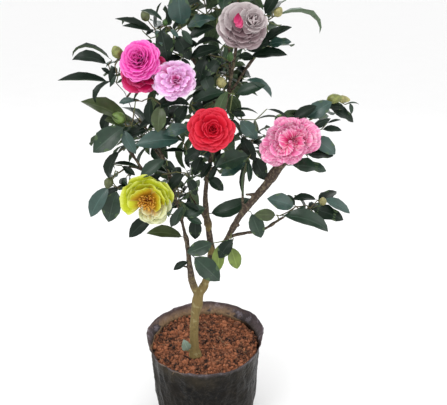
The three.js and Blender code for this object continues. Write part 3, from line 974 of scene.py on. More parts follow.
SPRAYS = {
    "left_fan": (
        Leaf(0.85, 0.68, 175, 59, "hooked", "deep", 80, 0, 0.5),
        Leaf(0.81, 0.61, 170, 53, "arched", "deep", 34, 10),
        Leaf(0.84, 0.32, 177, 78, "straight", "deep", 58, 5, 0.3),
        Leaf(0.88, 0.38, 236, 42, "hooked", "deep", 45, 15, 0.2),
        Leaf(0.85, 0.46, 142, 17, "flat", "deep", 20, 10, 0.3),
        Leaf(0.93, 0.64, 247, 26, "curled", "deep", 10, 0, 0.2),
        Leaf(0.95, 0.50, 240, 24, "curled", "mid", 30, 0, 0.2),
        Leaf(0.95, 0.60, 145, 40, "flat", "deep", 60, -60, 0.7),
        Leaf(0.90, 0.40, 200, 48, "wavy", "mid", 60, -50, 0.8)),
    "top_left": (
        Leaf(0.53, 0.52, 161, 62, "straight", "deep", 60, 0),
        Leaf(0.55, 0.52, 167, 50, "straight", "deep", 50, 5, 0.3),
        Leaf(0.54, 0.59, 210, 16, "flat", "deep", 20, 0, 0.3),
        Leaf(0.65, 0.72, 154, 37, "flat", "mid", 55, 10),
        Leaf(0.55, 0.61, 305, 38, "wavy", "blue", 10, 15, 0.2),
        Leaf(0.74, 0.62, 315, 18, "flat", "blue", 10, 10, 0.2),
        Leaf(0.88, 0.61, 306, 28, "flat", "mid", 15, 10, 0.2),
        Leaf(0.59, 0.41, 307, 30, "flat", "deep", 15, 10, 0.3),
        Leaf(0.62, 0.64, 282, 48, "broad", "deep", 10, 10, 0.15),
        Leaf(0.80, 0.52, 300, 44, "broad", "deep", 10, 10, 0.25),
        Leaf(0.74, 0.20, 16, 42, "broad", "deep", 30, 5, 0.3),
        Leaf(0.90, 0.06, 189, 36, "flat", "deep", 35, 10, 0.3),
        Leaf(0.84, 0.13, 38, 30, "flat", "deep", 35, 10, 0.3),
        Leaf(0.88, 0.28, 28, 28, "narrow", "deep", 75, 0, 0.3),
        Leaf(0.86, 0.07, 328, 18, "flat", "deep", 20, 10, 0.2),
        Leaf(0.66, 0.59, 95, 46, "wavy", "mid", 60, -50, 0.6),
        Leaf(0.75, 0.50, 20, 50, "arched", "deep", 70, -40, 0.7)),
    "top_middle": (
        Leaf(0.29, 0.24, 92, 62, "broad", "blue", 0, 25, 0.2),
        Leaf(1.00, 0.77, 203, 60, "flat", "deep", 45, 10),
        Leaf(1.00, 0.37, 195, 48, "wavy", "blue", 38, 10, 0.3),
        Leaf(0.98, 0.24, 202, 46, "flat", "deep", 35, 10, 0.2),
        Leaf(0.50, 0.55, 130, 58, "flat", "deep", 40, 5, 0.6),
        Leaf(0.60, 0.70, 75, 62, "arched", "mid", 40, 15, 0.5),
        Leaf(0.45, 0.60, 160, 60, "swept", "deep", 60, -30, 0.6),
        Leaf(0.80, 0.85, 110, 60, "wavy", "mid", 50, -30, 0.5)),
    "upper_core": (
        Leaf(0.53, 0.97, 195, 52, "flat", "deep", 38, 10, 0.3),
        Leaf(0.28, 0.90, 252, 44, "broad", "deep", 10, 10, 0.25),
        Leaf(0.18, 0.62, 292, 40, "broad", "mid", 10, 10, 0.3),
        Leaf(0.53, 0.85, 227, 40, "wavy", "deep", 15, 15, 0.2),
        Leaf(0.56, 1.00, 184, 46, "arched", "deep", 60, 5, 0.5),
        Leaf(0.42, 0.53, 207, 40, "flat", "deep", 30, 10),
        Leaf(0.60, 0.27, 195, 54, "flat", "mid", 35, 10, 0.2),
        Leaf(0.60, 0.14, 201, 44, "folded", "deep", 40, 10, 0.4),
        Leaf(0.75, 0.60, 320, 46, "flat", "deep", 50, -40, 0.7),
        Leaf(0.50, 0.60, 150, 50, "wavy", "deep", 60, -50, 0.8)),
    "upper_right": (
        Leaf(0.15, 0.82, 328, 51, "arched", "blue", 50, 5),
        Leaf(-0.08, 0.30, 19, 50, "flat", "mid", 25, 10, 0.3),
        Leaf(0.10, 0.60, 60, 50, "flat", "deep", 60, -60, 0.6)),
    "top_right": (
        Leaf(0.09, 0.72, 58, 46, "flat", "deep", 20, 10, 0.3),
        Leaf(0.23, 0.70, 340, 73, "hooked", "pale", 79, 0, 0.4),
        Leaf(0.06, 0.21, 31, 53, "flat", "deep", 48, 10, 0.35),
        Leaf(0.12, 0.20, 9, 39, "wavy", "blue", 30, 5, 0.3),
        Leaf(-0.15, 0.12, 20, 40, "broad", "deep", 20, 10, 0.3),
        Leaf(-0.02, -0.02, 172, 26, "broad", "deep", 20, 5, 0.3),
        Leaf(-0.10, 0.01, 4, 58, "flat", "deep", 42, 10, 0.3),
        Leaf(0.15, 0.60, 40, 58, "flat", "mid", 60, -45, 0.6),
        Leaf(0.20, 0.14, 349, 60, "swept", "deep", 60, -50, 0.7),
        Leaf(0.20, 0.80, 70, 56, "wavy", "deep", 40, -20, 0.5)),
    "left_shelf": (
        Leaf(1.00, 0.98, 190, 26, "flat", "blue", 25, 0, 0.3),
        Leaf(1.10, 0.96, 190, 30, "flat", "deep", 60, 0, 0.3),
        Leaf(0.90, 0.54, 152, 82, "flat", "olive", 50, 5, 0.3),
        Leaf(0.82, 0.55, 217, 64, "broad", "mid", 12, 15, 0.2),
        Leaf(0.93, 0.62, 178, 43, "broad", "olive", 32, 8, 0.35),
        Leaf(0.55, 0.80, 252, 40, "flat", "deep", 15, 5, 0.45),
        Leaf(0.75, 0.50, 300, 44, "flat", "blue", 10, 15, 0.2),
        Leaf(0.80, 0.60, 205, 46, "flat", "deep", 60, -40, 0.7),
        Leaf(0.85, 0.40, 240, 54, "wavy", "mid", 40, -50, 0.8)),
    "centre_left": (
        Leaf(0.77, 0.38, 183, 72, "flat", "blue", 28, 10, 0.2),
        Leaf(0.85, 0.17, 178, 40, "straight", "deep", 62, 0, 0.3),
        Leaf(1.10, 0.26, 217, 38, "broad", "deep", 15, 5, 0.3),
        Leaf(0.93, 0.58, 191, 46, "wavy", "blue", 28, 10, 0.2),
        Leaf(0.44, 0.92, 264, 42, "broad", "olive", 0, 20, 0.2),
        Leaf(0.29, 1.00, 268, 42, "flat", "deep", 25, 5, 0.3),
        Leaf(0.86, 0.90, 238, 36, "broad", "deep", 15, 5, 0.35),
        Leaf(0.60, 0.68, 225, 30, "flat", "deep", 20, 5, 0.5),
        Leaf(0.20, 0.48, 200, 40, "flat", "deep", 30, 5, 0.5),
        Leaf(0.93, 0.86, 185, 60, "arched", "deep", 45, 10, 0.4),
        Leaf(0.45, 0.60, 200, 44, "folded", "deep", 40, 10, 0.6),
        Leaf(0.70, 0.50, 230, 48, "flat", "deep", 20, 5, 0.7)),
    "lower_left": (
        Leaf(0.86, 1.08, 248, 51, "arched", "deep", 30, 5, 0.3),
        Leaf(0.58, 0.58, 237, 61, "flat", "blue", 12, 10, 0.3),
        Leaf(0.72, 0.50, 252, 57, "broad", "mid", 5, 10, 0.4),
        Leaf(0.62, 0.87, 352, 44, "straight", "deep", 68, 0, 0.4),
        Leaf(0.84, 0.84, 325, 26, "flat", "deep", 25, 10, 0.4),
        Leaf(0.75, 0.50, 215, 34, "flat", "deep", 30, 5, 0.5),
        Leaf(1.02, 0.70, 248, 40, "wavy", "deep", 45, -50, 0.7),
        Leaf(0.87, 0.60, 260, 52, "flat", "mid", 30, -45, 0.8)),
    "lower_middle": (
        Leaf(0.42, 1.08, 214, 50, "flat", "mid", 18, 10, 0.1),
        Leaf(0.33, 0.87, 208, 28, "flat", "deep", 20, 10, 0.2),
        Leaf(0.71, 0.87, 227, 40, "flat", "deep", 15, 10, 0.3),
        Leaf(0.76, 0.83, 293, 35, "wavy", "deep", 15, 10, 0.3),
        Leaf(0.67, 0.48, 333, 30, "flat", "deep", 35, 10, 0.3),
        Leaf(0.64, 0.41, 239, 34, "flat", "mid", 20, 10, 0.2),
        Leaf(0.71, 0.32, 337, 30, "flat", "mid", 30, 10, 0.2),
        Leaf(0.89, 0.30, 268, 40, "broad", "deep", 0, 10, 0.3),
        Leaf(0.13, 0.29, 221, 57, "flat", "deep", 15, 10, 0.4),
        Leaf(1.09, 0.41, 198, 40, "broad", "mid", 25, 10, 0.3),
        Leaf(0.67, 0.00, 168, 63, "flat", "olive", 54, 10, 0.3),
        Leaf(0.69, 0.48, 244, 38, "flat", "mid", 15, 10, 0.15),
        Leaf(0.57, 0.90, 139, 30, "wavy", "deep", 30, 5, 0.2),
        Leaf(0.50, 0.60, 240, 48, "flat", "deep", 20, -20, 0.6),
        Leaf(0.60, 0.30, 210, 50, "wavy", "mid", 50, -50, 0.8)),
    "centre_right": (
        Leaf(0.00, 1.00, 356, 44, "narrow", "deep", 70, 0, 0.3),
        Leaf(0.24, 0.90, 314, 42, "broad", "blue", 8, 10, 0.3),
        Leaf(0.68, 0.88, 358, 44, "narrow", "deep", 80, 0, 0.4),
        Leaf(0.95, 1.04, 331, 40, "narrow", "deep", 60, 0, 0.3),
        Leaf(0.29, 0.67, 300, 48, "flat", "deep", 10, 10, 0.4),
        Leaf(0.48, 0.32, 206, 48, "wavy", "blue", 28, 10, 0.2),
        Leaf(0.02, 1.00, 348, 24, "broad", "deep", 20, 5, 0.3),
        Leaf(0.55, 0.44, 197, 58, "broad", "mid", 30, 10, 0.1),
        Leaf(0.47, 0.37, 275, 39, "folded", "mid", 20, 5, 0.2),
        Leaf(0.65, 0.38, 294, 44, "broad", "deep", 5, 10, 0.4),
        Leaf(0.43, 0.30, 268, 62, "straight", "deep", 83, 0, 0.3)),
    "under_bloom": (
        Leaf(0.28, 0.42, 320, 35, "broad", "deep", 20, 10, 0.3),
        Leaf(0.60, 0.70, 240, 26, "flat", "deep", 20, 5, 0.3),
        Leaf(0.15, 1.00, 248, 37, "broad", "deep", 15, 5, 0.3),
        Leaf(0.95, 1.10, 225, 34, "broad", "deep", 15, 10, 0.2),
        Leaf(0.45, 0.80, 235, 34, "flat", "deep", 20, 10, 0.4)),
    "inner_right": (
        Leaf(-0.08, -0.10, 19, 76, "swept", "mid", 28, -6, 1.3),),
    "right_bloom": (
        Leaf(0.74, 0.50, 324, 47, "broad", "blue", 20, 5, 0.8),
        Leaf(0.46, 0.01, 352, 59, "wavy", "mid", 40, 5, 0.8),
        Leaf(0.46, 0.80, 28, 42, "flat", "deep", 20, 0, 0.8),
        Leaf(0.64, 0.78, 33, 48, "broad", "blue", 15, 0, 0.9),
        Leaf(0.71, 0.65, 29, 34, "curled", "deep", 25, 0, 0.7),
        Leaf(0.93, 0.72, 14, 22, "narrow", "deep", 40, 0, 0.8),
        Leaf(0.86, 0.62, 357, 32, "flat", "deep", 40, 0, 0.8),
        Leaf(0.65, 0.21, 357, 46, "broad", "deep", 40, 5, 0.8)),
    "far_right": (
        Leaf(0.49, 0.62, 331, 45, "broad", "deep", 42, 5),
        Leaf(0.44, 0.67, 353, 30, "broad", "deep", 30, 0, 0.4),
        Leaf(0.72, 0.71, 0, 22, "narrow", "mid", 60, 0),
        Leaf(0.78, 0.76, 284, 19, "flat", "mid", 20, 0),
        Leaf(0.30, 0.30, 190, 52, "flat", "deep", 60, -50, 0.7),
        Leaf(0.45, 0.40, 330, 46, "wavy", "mid", 50, -60, 0.8)),
    "low_branch_leaves": (
        Leaf(0.83, 0.84, 173, 39, "broad", "olive", 8, 10, 0.25),
        Leaf(0.00, 0.92, 292, 48, "broad", "mid", 5, 10, 0.3)),
    "lower_right": (
        Leaf(0.30, 0.78, 159, 52, "broad", "blue", 25, 10, 0.3),
        Leaf(0.55, 0.95, 180, 43, "flat", "deep", 56, 0, 0.3),
        Leaf(0.43, 0.82, 229, 24, "flat", "mid", 20, 0, 0.3),
        Leaf(0.60, 0.99, 333, 52, "flat", "blue", 40, 10, 0.3),
        Leaf(0.47, 0.74, 343, 58, "wavy", "deep", 28, 10, 0.3),
        Leaf(0.13, 0.61, 343, 83, "arched", "mid", 46, 8, 0.2),
        Leaf(0.45, 0.45, 0, 50, "wavy", "deep", 60, -35, 0.7),
        Leaf(0.35, 0.55, 190, 50, "flat", "mid", 50, -60, 0.8)),
    "fork_leaves": (
        Leaf(0.46, 0.93, 198, 47, "broad", "mid", 10, 10, 0.4),
        Leaf(0.65, 1.00, 261, 53, "flat", "young", 20, 10, 0.3),
        Leaf(0.80, 0.90, 286, 42, "broad", "young", 10, 10, 0.3),
        Leaf(0.86, 1.09, 234, 41, "broad", "deep", 20, 10, 0.2),
        Leaf(0.02, 0.71, 317, 62, "broad", "mid", 18, 10, 0.2)),
    "low_left_leaves": (
        Leaf(1.00, 0.95, 208, 30, "flat", "deep", 30, 10),),
    "basal_leaf": (
        Leaf(0.80, 0.22, 104, 32, "broad", "pale", 12, 15),),
}

# Leaves that follow a rule: how many there are in a mass, and the seed that shapes them. In a mass
# that has a spray or a bloom they fill its rear.
FILLED = {
    "crown_top": (30, 3), "back_upper_left": (26, 15), "back_top": (32, 24), "back_core": (30, 4),
    "back_left": (26, 50), "back_right": (24, 14), "back_low": (24, 61), "back_middle": (26, 2),
    "left_fan": (1, 67), "top_left": (10, 4), "top_middle": (11, 46), "upper_core": (18, 11),
    "upper_right": (1, 31), "top_right": (3, 21), "left_shelf": (5, 32), "centre_left": (19, 4),
    "lower_left": (5, 23), "lower_middle": (15, 14), "centre_right": (18, 12), "under_bloom": (8, 3),
    "far_right": (3, 31), "lower_right": (4, 49), "left_bloom": (4, 2), "centre_bloom": (8, 36),
}

# Where the crown stays open as the camera sees it: a mass, a place in shares of its width and
# height, and the opening's radius in mm.
OPENINGS = (
    ("centre_left", 0.10, 0.77, 13), ("centre_left", 0.10, 0.88, 11), ("centre_left", 0.64, 0.24, 7),
    ("lower_middle", 0.55, 0.98, 13), ("lower_middle", 1.00, 0.64, 6), ("centre_right", 0.83, 0.83, 11),
    ("centre_right", 1.12, 0.82, 10), ("centre_right", 1.47, 1.00, 13), ("centre_right", 1.16, 1.06, 8),
    ("centre_right", 1.21, 1.35, 10), ("centre_right", 0.98, 1.10, 7), ("centre_right", 0.53, 1.10, 8),
    ("top_left", 0.94, 0.56, 9), ("top_left", 1.04, -0.07, 9), ("top_left", 0.46, 0.45, 8),
    ("top_left", 0.30, 0.87, 8), ("top_middle", 0.94, 0.43, 6), ("lower_left", 0.82, 0.71, 11),
    ("lower_left", 0.33, 0.74, 11), ("left_shelf", 0.67, 1.03, 14), ("upper_right", 0.97, 0.97, 10),
    ("top_right", 0.59, 0.45, 14), ("top_right", 0.69, 0.90, 14), ("top_right", 0.44, 0.35, 8),
    ("far_right", 0.75, 0.94, 11), ("left_fan", 0.45, 0.53, 10),
)

Placed = namedtuple("Placed", "base along up length form tint")


def in_mass(name, x, depth, z):
    """The point at some shares of a mass's box."""
    low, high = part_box(f"foliage_{name}")
    span = high - low
    return Vector((low.x + span.x * x, low.y + span.y * depth, low.z + span.z * z))


def spray_leaf(mass, leaf):
    """Places one leaf of a spray."""
    heading, lean, roll = (math.radians(v) for v in (leaf.heading, leaf.lean, leaf.roll))
    along = Vector((math.cos(heading) * math.cos(lean), -math.sin(lean),
                    math.sin(heading) * math.cos(lean)))
    front = Vector((0, -1, 0.25))
    front = (front - along * front.dot(along)).normalized()
    side = along.cross(front)
    side = side if side.z >= 0 else -side
    up = front * math.cos(roll) + side * math.sin(roll)
    base = in_mass(mass, leaf.x, leaf.depth, leaf.z)
    return Placed(base, along, up, leaf.length * MM, leaf.form, leaf.tint)


def held_inside(tip):
    """The step that brings a tip back inside the model's box, with a little room to spare."""
    spare = Vector((8, 8, 8)) * MM
    low, high = CAD_BOX[0] - spare, CAD_BOX[1] + spare
    return Vector(max(lo - v, 0) + min(hi - v, 0) for v, lo, hi in zip(tip, low, high))


def rule_leaves(mass, count, seed):
    """Leaves that radiate from the inside of a mass, their faces up and outwards."""
    rng = random.Random(seed)
    low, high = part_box(f"foliage_{mass}")
    centre, half = (low + high) / 2, (high - low) / 2
    rear = mass in SPRAYS or mass.endswith("bloom")
    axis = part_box("centre_stem")[0].lerp(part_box("centre_stem")[1], 0.5)
    outward = Vector((centre.x - axis.x, centre.y - axis.y, 0)).normalized()
    if rear:
        centre.y += half.y * 0.4
        outward = Vector((outward.x * 0.5, 0.8, 0))
    placed = []
    for k in range(count):
        height = 1 - 2 * (k + 0.5) / count
        turn = k * GOLDEN_ANGLE + rng.uniform(-0.3, 0.3)
        ring = math.sqrt(1 - height * height)
        across = ring * math.sin(turn)
        ray = Vector((ring * math.cos(turn), abs(across) if rear else across, height))
        reach = rng.uniform(0.15, 0.5)
        base = centre + Vector(r * h * reach for r, h in zip(ray, half))
        along = (ray * 0.9 + outward * 0.55 + Vector((0, 0, rng.uniform(-0.35, 0.15)))).normalized()
        room = 1 / max(1e-6, math.sqrt(sum((a / h) ** 2 for a, h in zip(along, half))))
        length = min(rng.uniform(58, 82) * MM, max(44 * MM, room * (1.2 - reach)))
        base += held_inside(base + along * length)
        up = Vector((0, 0, 0.75)) + outward * 0.6 + Vector(rng.uniform(-0.35, 0.35) for _ in range(3))
        form = rng.choice(("flat", "flat", "arched", "wavy", "broad", "swept", "hooked", "curled"))
        tint = rng.choice(("deep", "deep", "deep", "mid", "mid", "blue", "olive"))
        placed.append(Placed(base, along, up, length, form, tint))
    return placed


def opening_sights():
    """The lines of sight through the crown's openings, each with its radius."""
    middles = [in_mass(mass, x, 0.5, z) for mass, x, z, _ in OPENINGS]
    return [((middle - EYE).normalized(), opening[3] * MM) for middle, opening in zip(middles, OPENINGS)]


def in_opening(leaf, sights):
    """Whether a leaf would close one of the openings."""
    spots = [leaf.base + leaf.along * leaf.length * share - EYE for share in (0.3, 0.5, 0.7, 0.9)]
    return any((spot - sight * spot.dot(sight)).length < radius
               for sight, radius in sights for spot in spots)


def all_leaves():
    """Every leaf of the crown, mass by mass."""
    placed = {name: [spray_leaf(name, leaf) for leaf in spray] for name, spray in SPRAYS.items()}
    sights = opening_sights()
    for name, (count, seed) in FILLED.items():
        grown = rule_leaves(name, count, seed)
        placed.setdefault(name, []).extend(leaf for leaf in grown if not in_opening(leaf, sights))
    return placed


def paint_leaf(name, colour, gloss, under=False):
    """A leathery leaf: glossy above with a paler midrib, dull and paler below."""
    paint = Paint(name)
    uv = paint.own_uv()
    place = paint.place()
    across = paint.part(uv, "X")
    along = paint.part(uv, "Y")
    aside = (across - 0.5).op("ABSOLUTE")
    rib = paint.stretch(aside, 0.055, 0.012)
    chevron = along * 13 - aside * 9
    veins = chevron.op("PINGPONG", 0.5)
    mottle = paint.cloud(place, 90, 4)
    pale = tuple(min(1.0, c * 1.9 + 0.035) for c in colour)
    shade = paint.blend(paint.stretch(mottle, 0.35, 0.65), tuple(c * 0.78 for c in colour), colour)
    shade = paint.blend(rib * (0.30 if under else 0.32), shade, pale)
    relief = paint.bump(veins * 0.35 + rib * (1.0 if under else -0.8) + mottle * 0.6, 0.5 * MM, 0.6)
    if under:
        return paint.surface(
            Base_Color=shade, Roughness=0.62, Normal=relief, Specular_IOR_Level=gloss * 0.6)
    return paint.surface(
        Base_Color=shade, Roughness=0.26 + 0.2 * mottle, Normal=relief, Specular_IOR_Level=gloss)


def leaf_mass_nodes(tint):
    """The masses of foliage that a tint's leaves stand for."""
    masses = {"young": ["fork_leaves"]}
    masses["deep"] = [n for n in dict.fromkeys([*SPRAYS, *FILLED])
                      if n != "fork_leaves" and not n.endswith("bloom") or n == "under_bloom"]
    return [f"foliage_{name}" for name in masses.get(tint, [])]


class CAMELLIA_OT_leaves(Operator):
    """Make the leaves, one piece for each tint"""
    bl_idname = "camellia.leaves"
    bl_label = "Leaves"

    def execute(self, context):
        settings = context.scene.camellia_leaves
        leaves = [leaf for spray in all_leaves().values() for leaf in spray]
        shapes = library("blades", [make_blade(form) for form in FORMS])
        rule = sowing_rule()
        for tint in LEAF_GLOSS:
            colour = tuple(getattr(settings, tint))
            below = tuple(0.45 * c + 0.55 * u for c, u in zip(colour, rgb("5f7350")))
            chosen = [leaf for leaf in leaves if leaf.tint == tint]
            base = scatter_mesh(
                [leaf.base for leaf in chosen],
                turn=[facing_turn(leaf.along, leaf.up) for leaf in chosen],
                size=[[leaf.length / BLADE_LENGTH] * 3 for leaf in chosen],
                shape=[FORM_ORDER[leaf.form] for leaf in chosen])
            mesh = grow_by_rule(base, rule, {
                "Shapes": shapes, "Growth": settings.growth,
                "Upper finish": paint_leaf(f"{tint} leaf", colour, LEAF_GLOSS[tint]),
                "Under finish": paint_leaf(f"{tint} leaf back", below, LEAF_GLOSS[tint], under=True)})
            add_piece(f"leaves_{tint}", mesh, leaf_mass_nodes(tint))
        return {"FINISHED"}


# ---- Buds ------------------------------------------------------------------

# A bud: its mass, its place across and up in shares of the mass, its length in mm, where it points
# (degrees, 0 right, 90 up), its slimness, its tint, and how deep in the mass it is.
Bud = namedtuple("Bud", "mass x z length heading slim tint depth", defaults=(0.2,))
BUDS = (
    Bud("left_fan", 0.97, 0.87, 20, 110, 0.8, "pod"),
    Bud("top_left", 0.43, 0.84, 16, 120, 0.85, "dark"),
    Bud("top_left", 0.68, 0.73, 10, 80, 0.8, "leafy"),
    Bud("top_left", 0.76, 0.36, 14, 200, 0.7, "leafy"),
    Bud("upper_core", 0.67, 0.86, 16, 80, 0.65, "leafy"),
    Bud("upper_core", 0.51, 0.44, 19, 100, 0.85, "cream"),
    Bud("upper_core", 0.07, 0.04, 20, 120, 0.85, "pod"),
    Bud("top_right", 0.27, 0.79, 16, 60, 0.8, "cream"),
    Bud("left_shelf", 0.71, 0.70, 22, 150, 0.85, "green"),
    Bud("lower_left", 0.57, 0.63, 18, 250, 0.8, "dark"),
    Bud("lower_right", 0.60, 0.97, 16, 100, 0.75, "cream"),
    Bud("far_right", 0.54, 0.90, 24, 10, 0.65, "pod"),
    Bud("far_right", 0.66, 0.885, 22, 355, 0.6, "cream"),
    Bud("back_top", 0.50, 0.55, 20, 60, 0.8, "green", 0.8),
    Bud("back_left", 0.40, 0.60, 20, 150, 0.8, "cream", 0.85),
    Bud("back_right", 0.60, 0.65, 20, 40, 0.8, "green", 0.85),
    Bud("back_core", 0.50, 0.60, 21, 90, 0.8, "cream", 0.9),
)
# The slimness of each bud shape in the library.
BUD_SLIMS = (0.55, 0.65, 0.75, 0.85)
BUD_TINTS = {"leafy": rgb("3a5e22"), "green": rgb("66803a"), "cream": rgb("a09a62"), "pod": rgb("838a48"),
             "dark": rgb("545c34")}


def bud_direction(bud):
    """Where a bud points: in the front plane, leaning a little out of it."""
    turn = math.radians(bud.heading)
    return Vector((math.cos(turn), -0.35 if bud.depth < 0.5 else 0.5, math.sin(turn))).normalized()


def nearest_slimness(bud):
    """Which shape of the library is nearest to a bud's slimness."""
    return min(range(len(BUD_SLIMS)), key=lambda i: abs(BUD_SLIMS[i] - bud.slim))


def make_bud_shape(slim):
    """A closed bud wrapped in overlapping scales, a unit long from its stalk at the origin."""
    around, rows = 24, 22
    points = []
    for r in range(rows + 1):
        t = r / rows
        for i in range(around):
            turn = math.tau * i / around
            girth = math.sin(math.pi * min(1, 0.02 + t * 0.98) ** 0.85) ** 0.62
            # Each scale is a leaf-shaped step that winds up the bud.
            wind = (turn / math.tau * 2.0 + t * 3.0) % 1.0
            step = 0.07 * (1 - wind) ** 1.5 * (1 - t) ** 0.3
            radius = 0.5 * slim * girth * (0.95 + step)
            points.append((radius * math.cos(turn), t, radius * math.sin(turn)))
    faces = [[b, a, c, d] for a, b, c, d in belts(0, rows, around)]
    faces.append(list(range(around)))
    faces.append([rows * around + i for i in reversed(range(around))])
    return mesh_from("bud", points, faces)


def paint_bud(name, colour):
    """Silky green scales, mottled with a darker tone."""
    paint = Paint(name)
    place = paint.place()
    mottle = paint.cloud(place, 170, 4)
    shade = paint.blend(paint.stretch(mottle, 0.38, 0.62), tuple(c * 0.6 for c in colour), colour)
    return paint.surface(
        Base_Color=shade, Roughness=0.42, Normal=paint.bump(mottle, 0.6 * MM, 0.7))


class CAMELLIA_OT_buds(Operator):
    """Make the flower buds"""
    bl_idname = "camellia.buds"
    bl_label = "Buds"

    def execute(self, context):
        rule = sowing_rule()
        shapes = library("buds", [make_bud_shape(slim) for slim in BUD_SLIMS])
        for tint, colour in BUD_TINTS.items():
            chosen = [bud for bud in BUDS if bud.tint == tint]
            base = scatter_mesh(
                [bud_base(bud) for bud in chosen],
                turn=[facing_turn(bud_direction(bud), (0.2, -1, 0.3)) for bud in chosen],
                size=[[bud.length * MM] * 3 for bud in chosen],
                shape=[nearest_slimness(bud) for bud in chosen])
            finish = paint_bud(f"{tint} bud", colour)
            mesh = grow_by_rule(base, rule, {
                "Shapes": shapes, "Growth": 1.0, "Upper finish": finish, "Under finish": finish})
            add_piece(f"buds_{tint}", mesh)
        return {"FINISHED"}


def bud_base(bud):
    """The stalk end of a bud whose middle lies at its place."""
    return in_mass(bud.mass, bud.x, bud.depth, bud.z) - bud_direction(bud) * bud.length * MM / 2


# ---- Blooms ----------------------------------------------------------------


class BloomSettings(PropertyGroup):
    """Size and colours of the blooms: each has a heart, a body and a rim colour."""
    growth: FloatProperty(
        name="Growth", description="Scale of every petal", default=1.0, min=0.6, max=1.3,
        subtype="FACTOR")


def add_bloom_colours(group):
    """Adds a heart, a body and a rim colour for each bloom to the group's settings."""
    colours = {
        # The second colours below paint the shade on the lower part of the magenta bloom.
        "magenta": ("bc187c", "f048b6", "fca4e4"), "crimson": ("7c0430", "b80c4c", "ee68a6"),
        "lilac": ("d8589c", "f0b8ea", "fdf0fd"), "blush": ("bca6aa", "cdc2c3", "e4dedc"),
        # The first colours below paint the shade on the lower petals of the blush bloom.
        "mauve": ("7e6068", "a28c90", "ccc0c2"), "rose": ("a0184c", "c83c70", "e0789c"),
        "red": ("bc1028", "ca0e28", "ea4860"), "pink": ("d83474", "ea7cb0", "f8c0dc"),
        "yellow": ("b07c18", "c2ca2a", "e8ee8e"), "cream": ("b48434", "cccf98", "eceed8"),
    }
    for name, codes in colours.items():
        for place, code in zip(("heart", "body", "rim"), codes):
            group.__annotations__[f"{name}_{place}"] = colour_setting(
                f"{name.title()} {place}", f"Petal colour at the {place}", code)
    return group


add_bloom_colours(BloomSettings)

# A petal's outline and curves: width as a share of length, how far its sides cup, how far its
# length bows in (lift, droop in degrees), how round its tip is, and its ruffle as a share of length.
Petal = namedtuple("Petal", "width cup lift droop tip ruffle waves")
TILED_PETALS = (
    Petal(0.98, 0.14, -4, 16, 0.42, 0.020, 2), Petal(0.90, 0.16, -8, 10, 0.40, 0.025, 2),
    Petal(1.06, 0.12, -2, 20, 0.44, 0.020, 3))
BOWL_PETALS = (
    Petal(1.08, 0.26, -24, -34, 0.42, 0.02, 2), Petal(1.00, 0.30, -20, -28, 0.40, 0.03, 2),
    Petal(1.16, 0.22, -16, -22, 0.46, 0.03, 3))
RUFFLED_PETALS = (
    Petal(0.92, 0.14, -10, -12, 0.36, 0.07, 3), Petal(0.78, 0.12, -6, 12, 0.36, 0.08, 4),
    Petal(1.05, 0.12, -8, 6, 0.40, 0.06, 4), Petal(0.84, 0.26, -18, -22, 0.36, 0.06, 3))
STRAP_PETALS = (
    Petal(0.56, 0.20, -12, -16, 0.30, 0.04, 2), Petal(0.64, 0.24, -14, -22, 0.30, 0.05, 2),
    Petal(0.50, 0.18, -6, 8, 0.30, 0.05, 3))
BROAD_PETALS = (
    Petal(1.30, 0.16, -14, -20, 0.30, 0.04, 2), Petal(1.45, 0.12, -10, -12, 0.34, 0.05, 3))


def make_petal(shape, order):
    """One petal, its claw at the origin, its tip a unit along +Y, its inner face on +Z."""
    line = bend_line(shape.lift, shape.droop, 1.0)

    def place(t, s):
        half = shape.width / 2 * (0.16 + 0.84 * math.sin(math.pi / 2 * min(1, t * 1.3)) ** 0.9)
        y, z, slope = line(t)
        short = shape.tip * t ** 3 * (1 - math.sqrt(1 - 0.98 * s * s))
        rise = shape.cup * s * s * half * (1 - 0.4 * t)
        edge = max(abs(s) ** 3, t ** 5)
        wave = shape.waves * math.pi * (s + 0.35 * t) + order
        rise += shape.ruffle * edge * t * math.sin(wave)
        pull = 1 - 0.12 * t ** 6 * abs(s)
        return (s * half * pull, y - short - rise * math.sin(slope), z + rise * math.cos(slope))

    rows = (0.0, 0.14, 0.3, 0.48, 0.66, 0.82, 0.93, 1.0)
    return shell("petal", rows, 8, place, 0.016)


def make_stamen(order):
    """One stamen: a fine stalk with a plump tip, a unit long."""
    bow = 0.10 * (order - 1)

    def place(t, s):
        half = 0.04 if t < 0.84 else 0.09
        return (bow * t * t + s * half, t, 0.04 * math.sin(4 * t + order))

    return shell("stamen", (0.0, 0.3, 0.6, 0.82, 0.86, 0.93, 1.0), 2, place, 0.09)


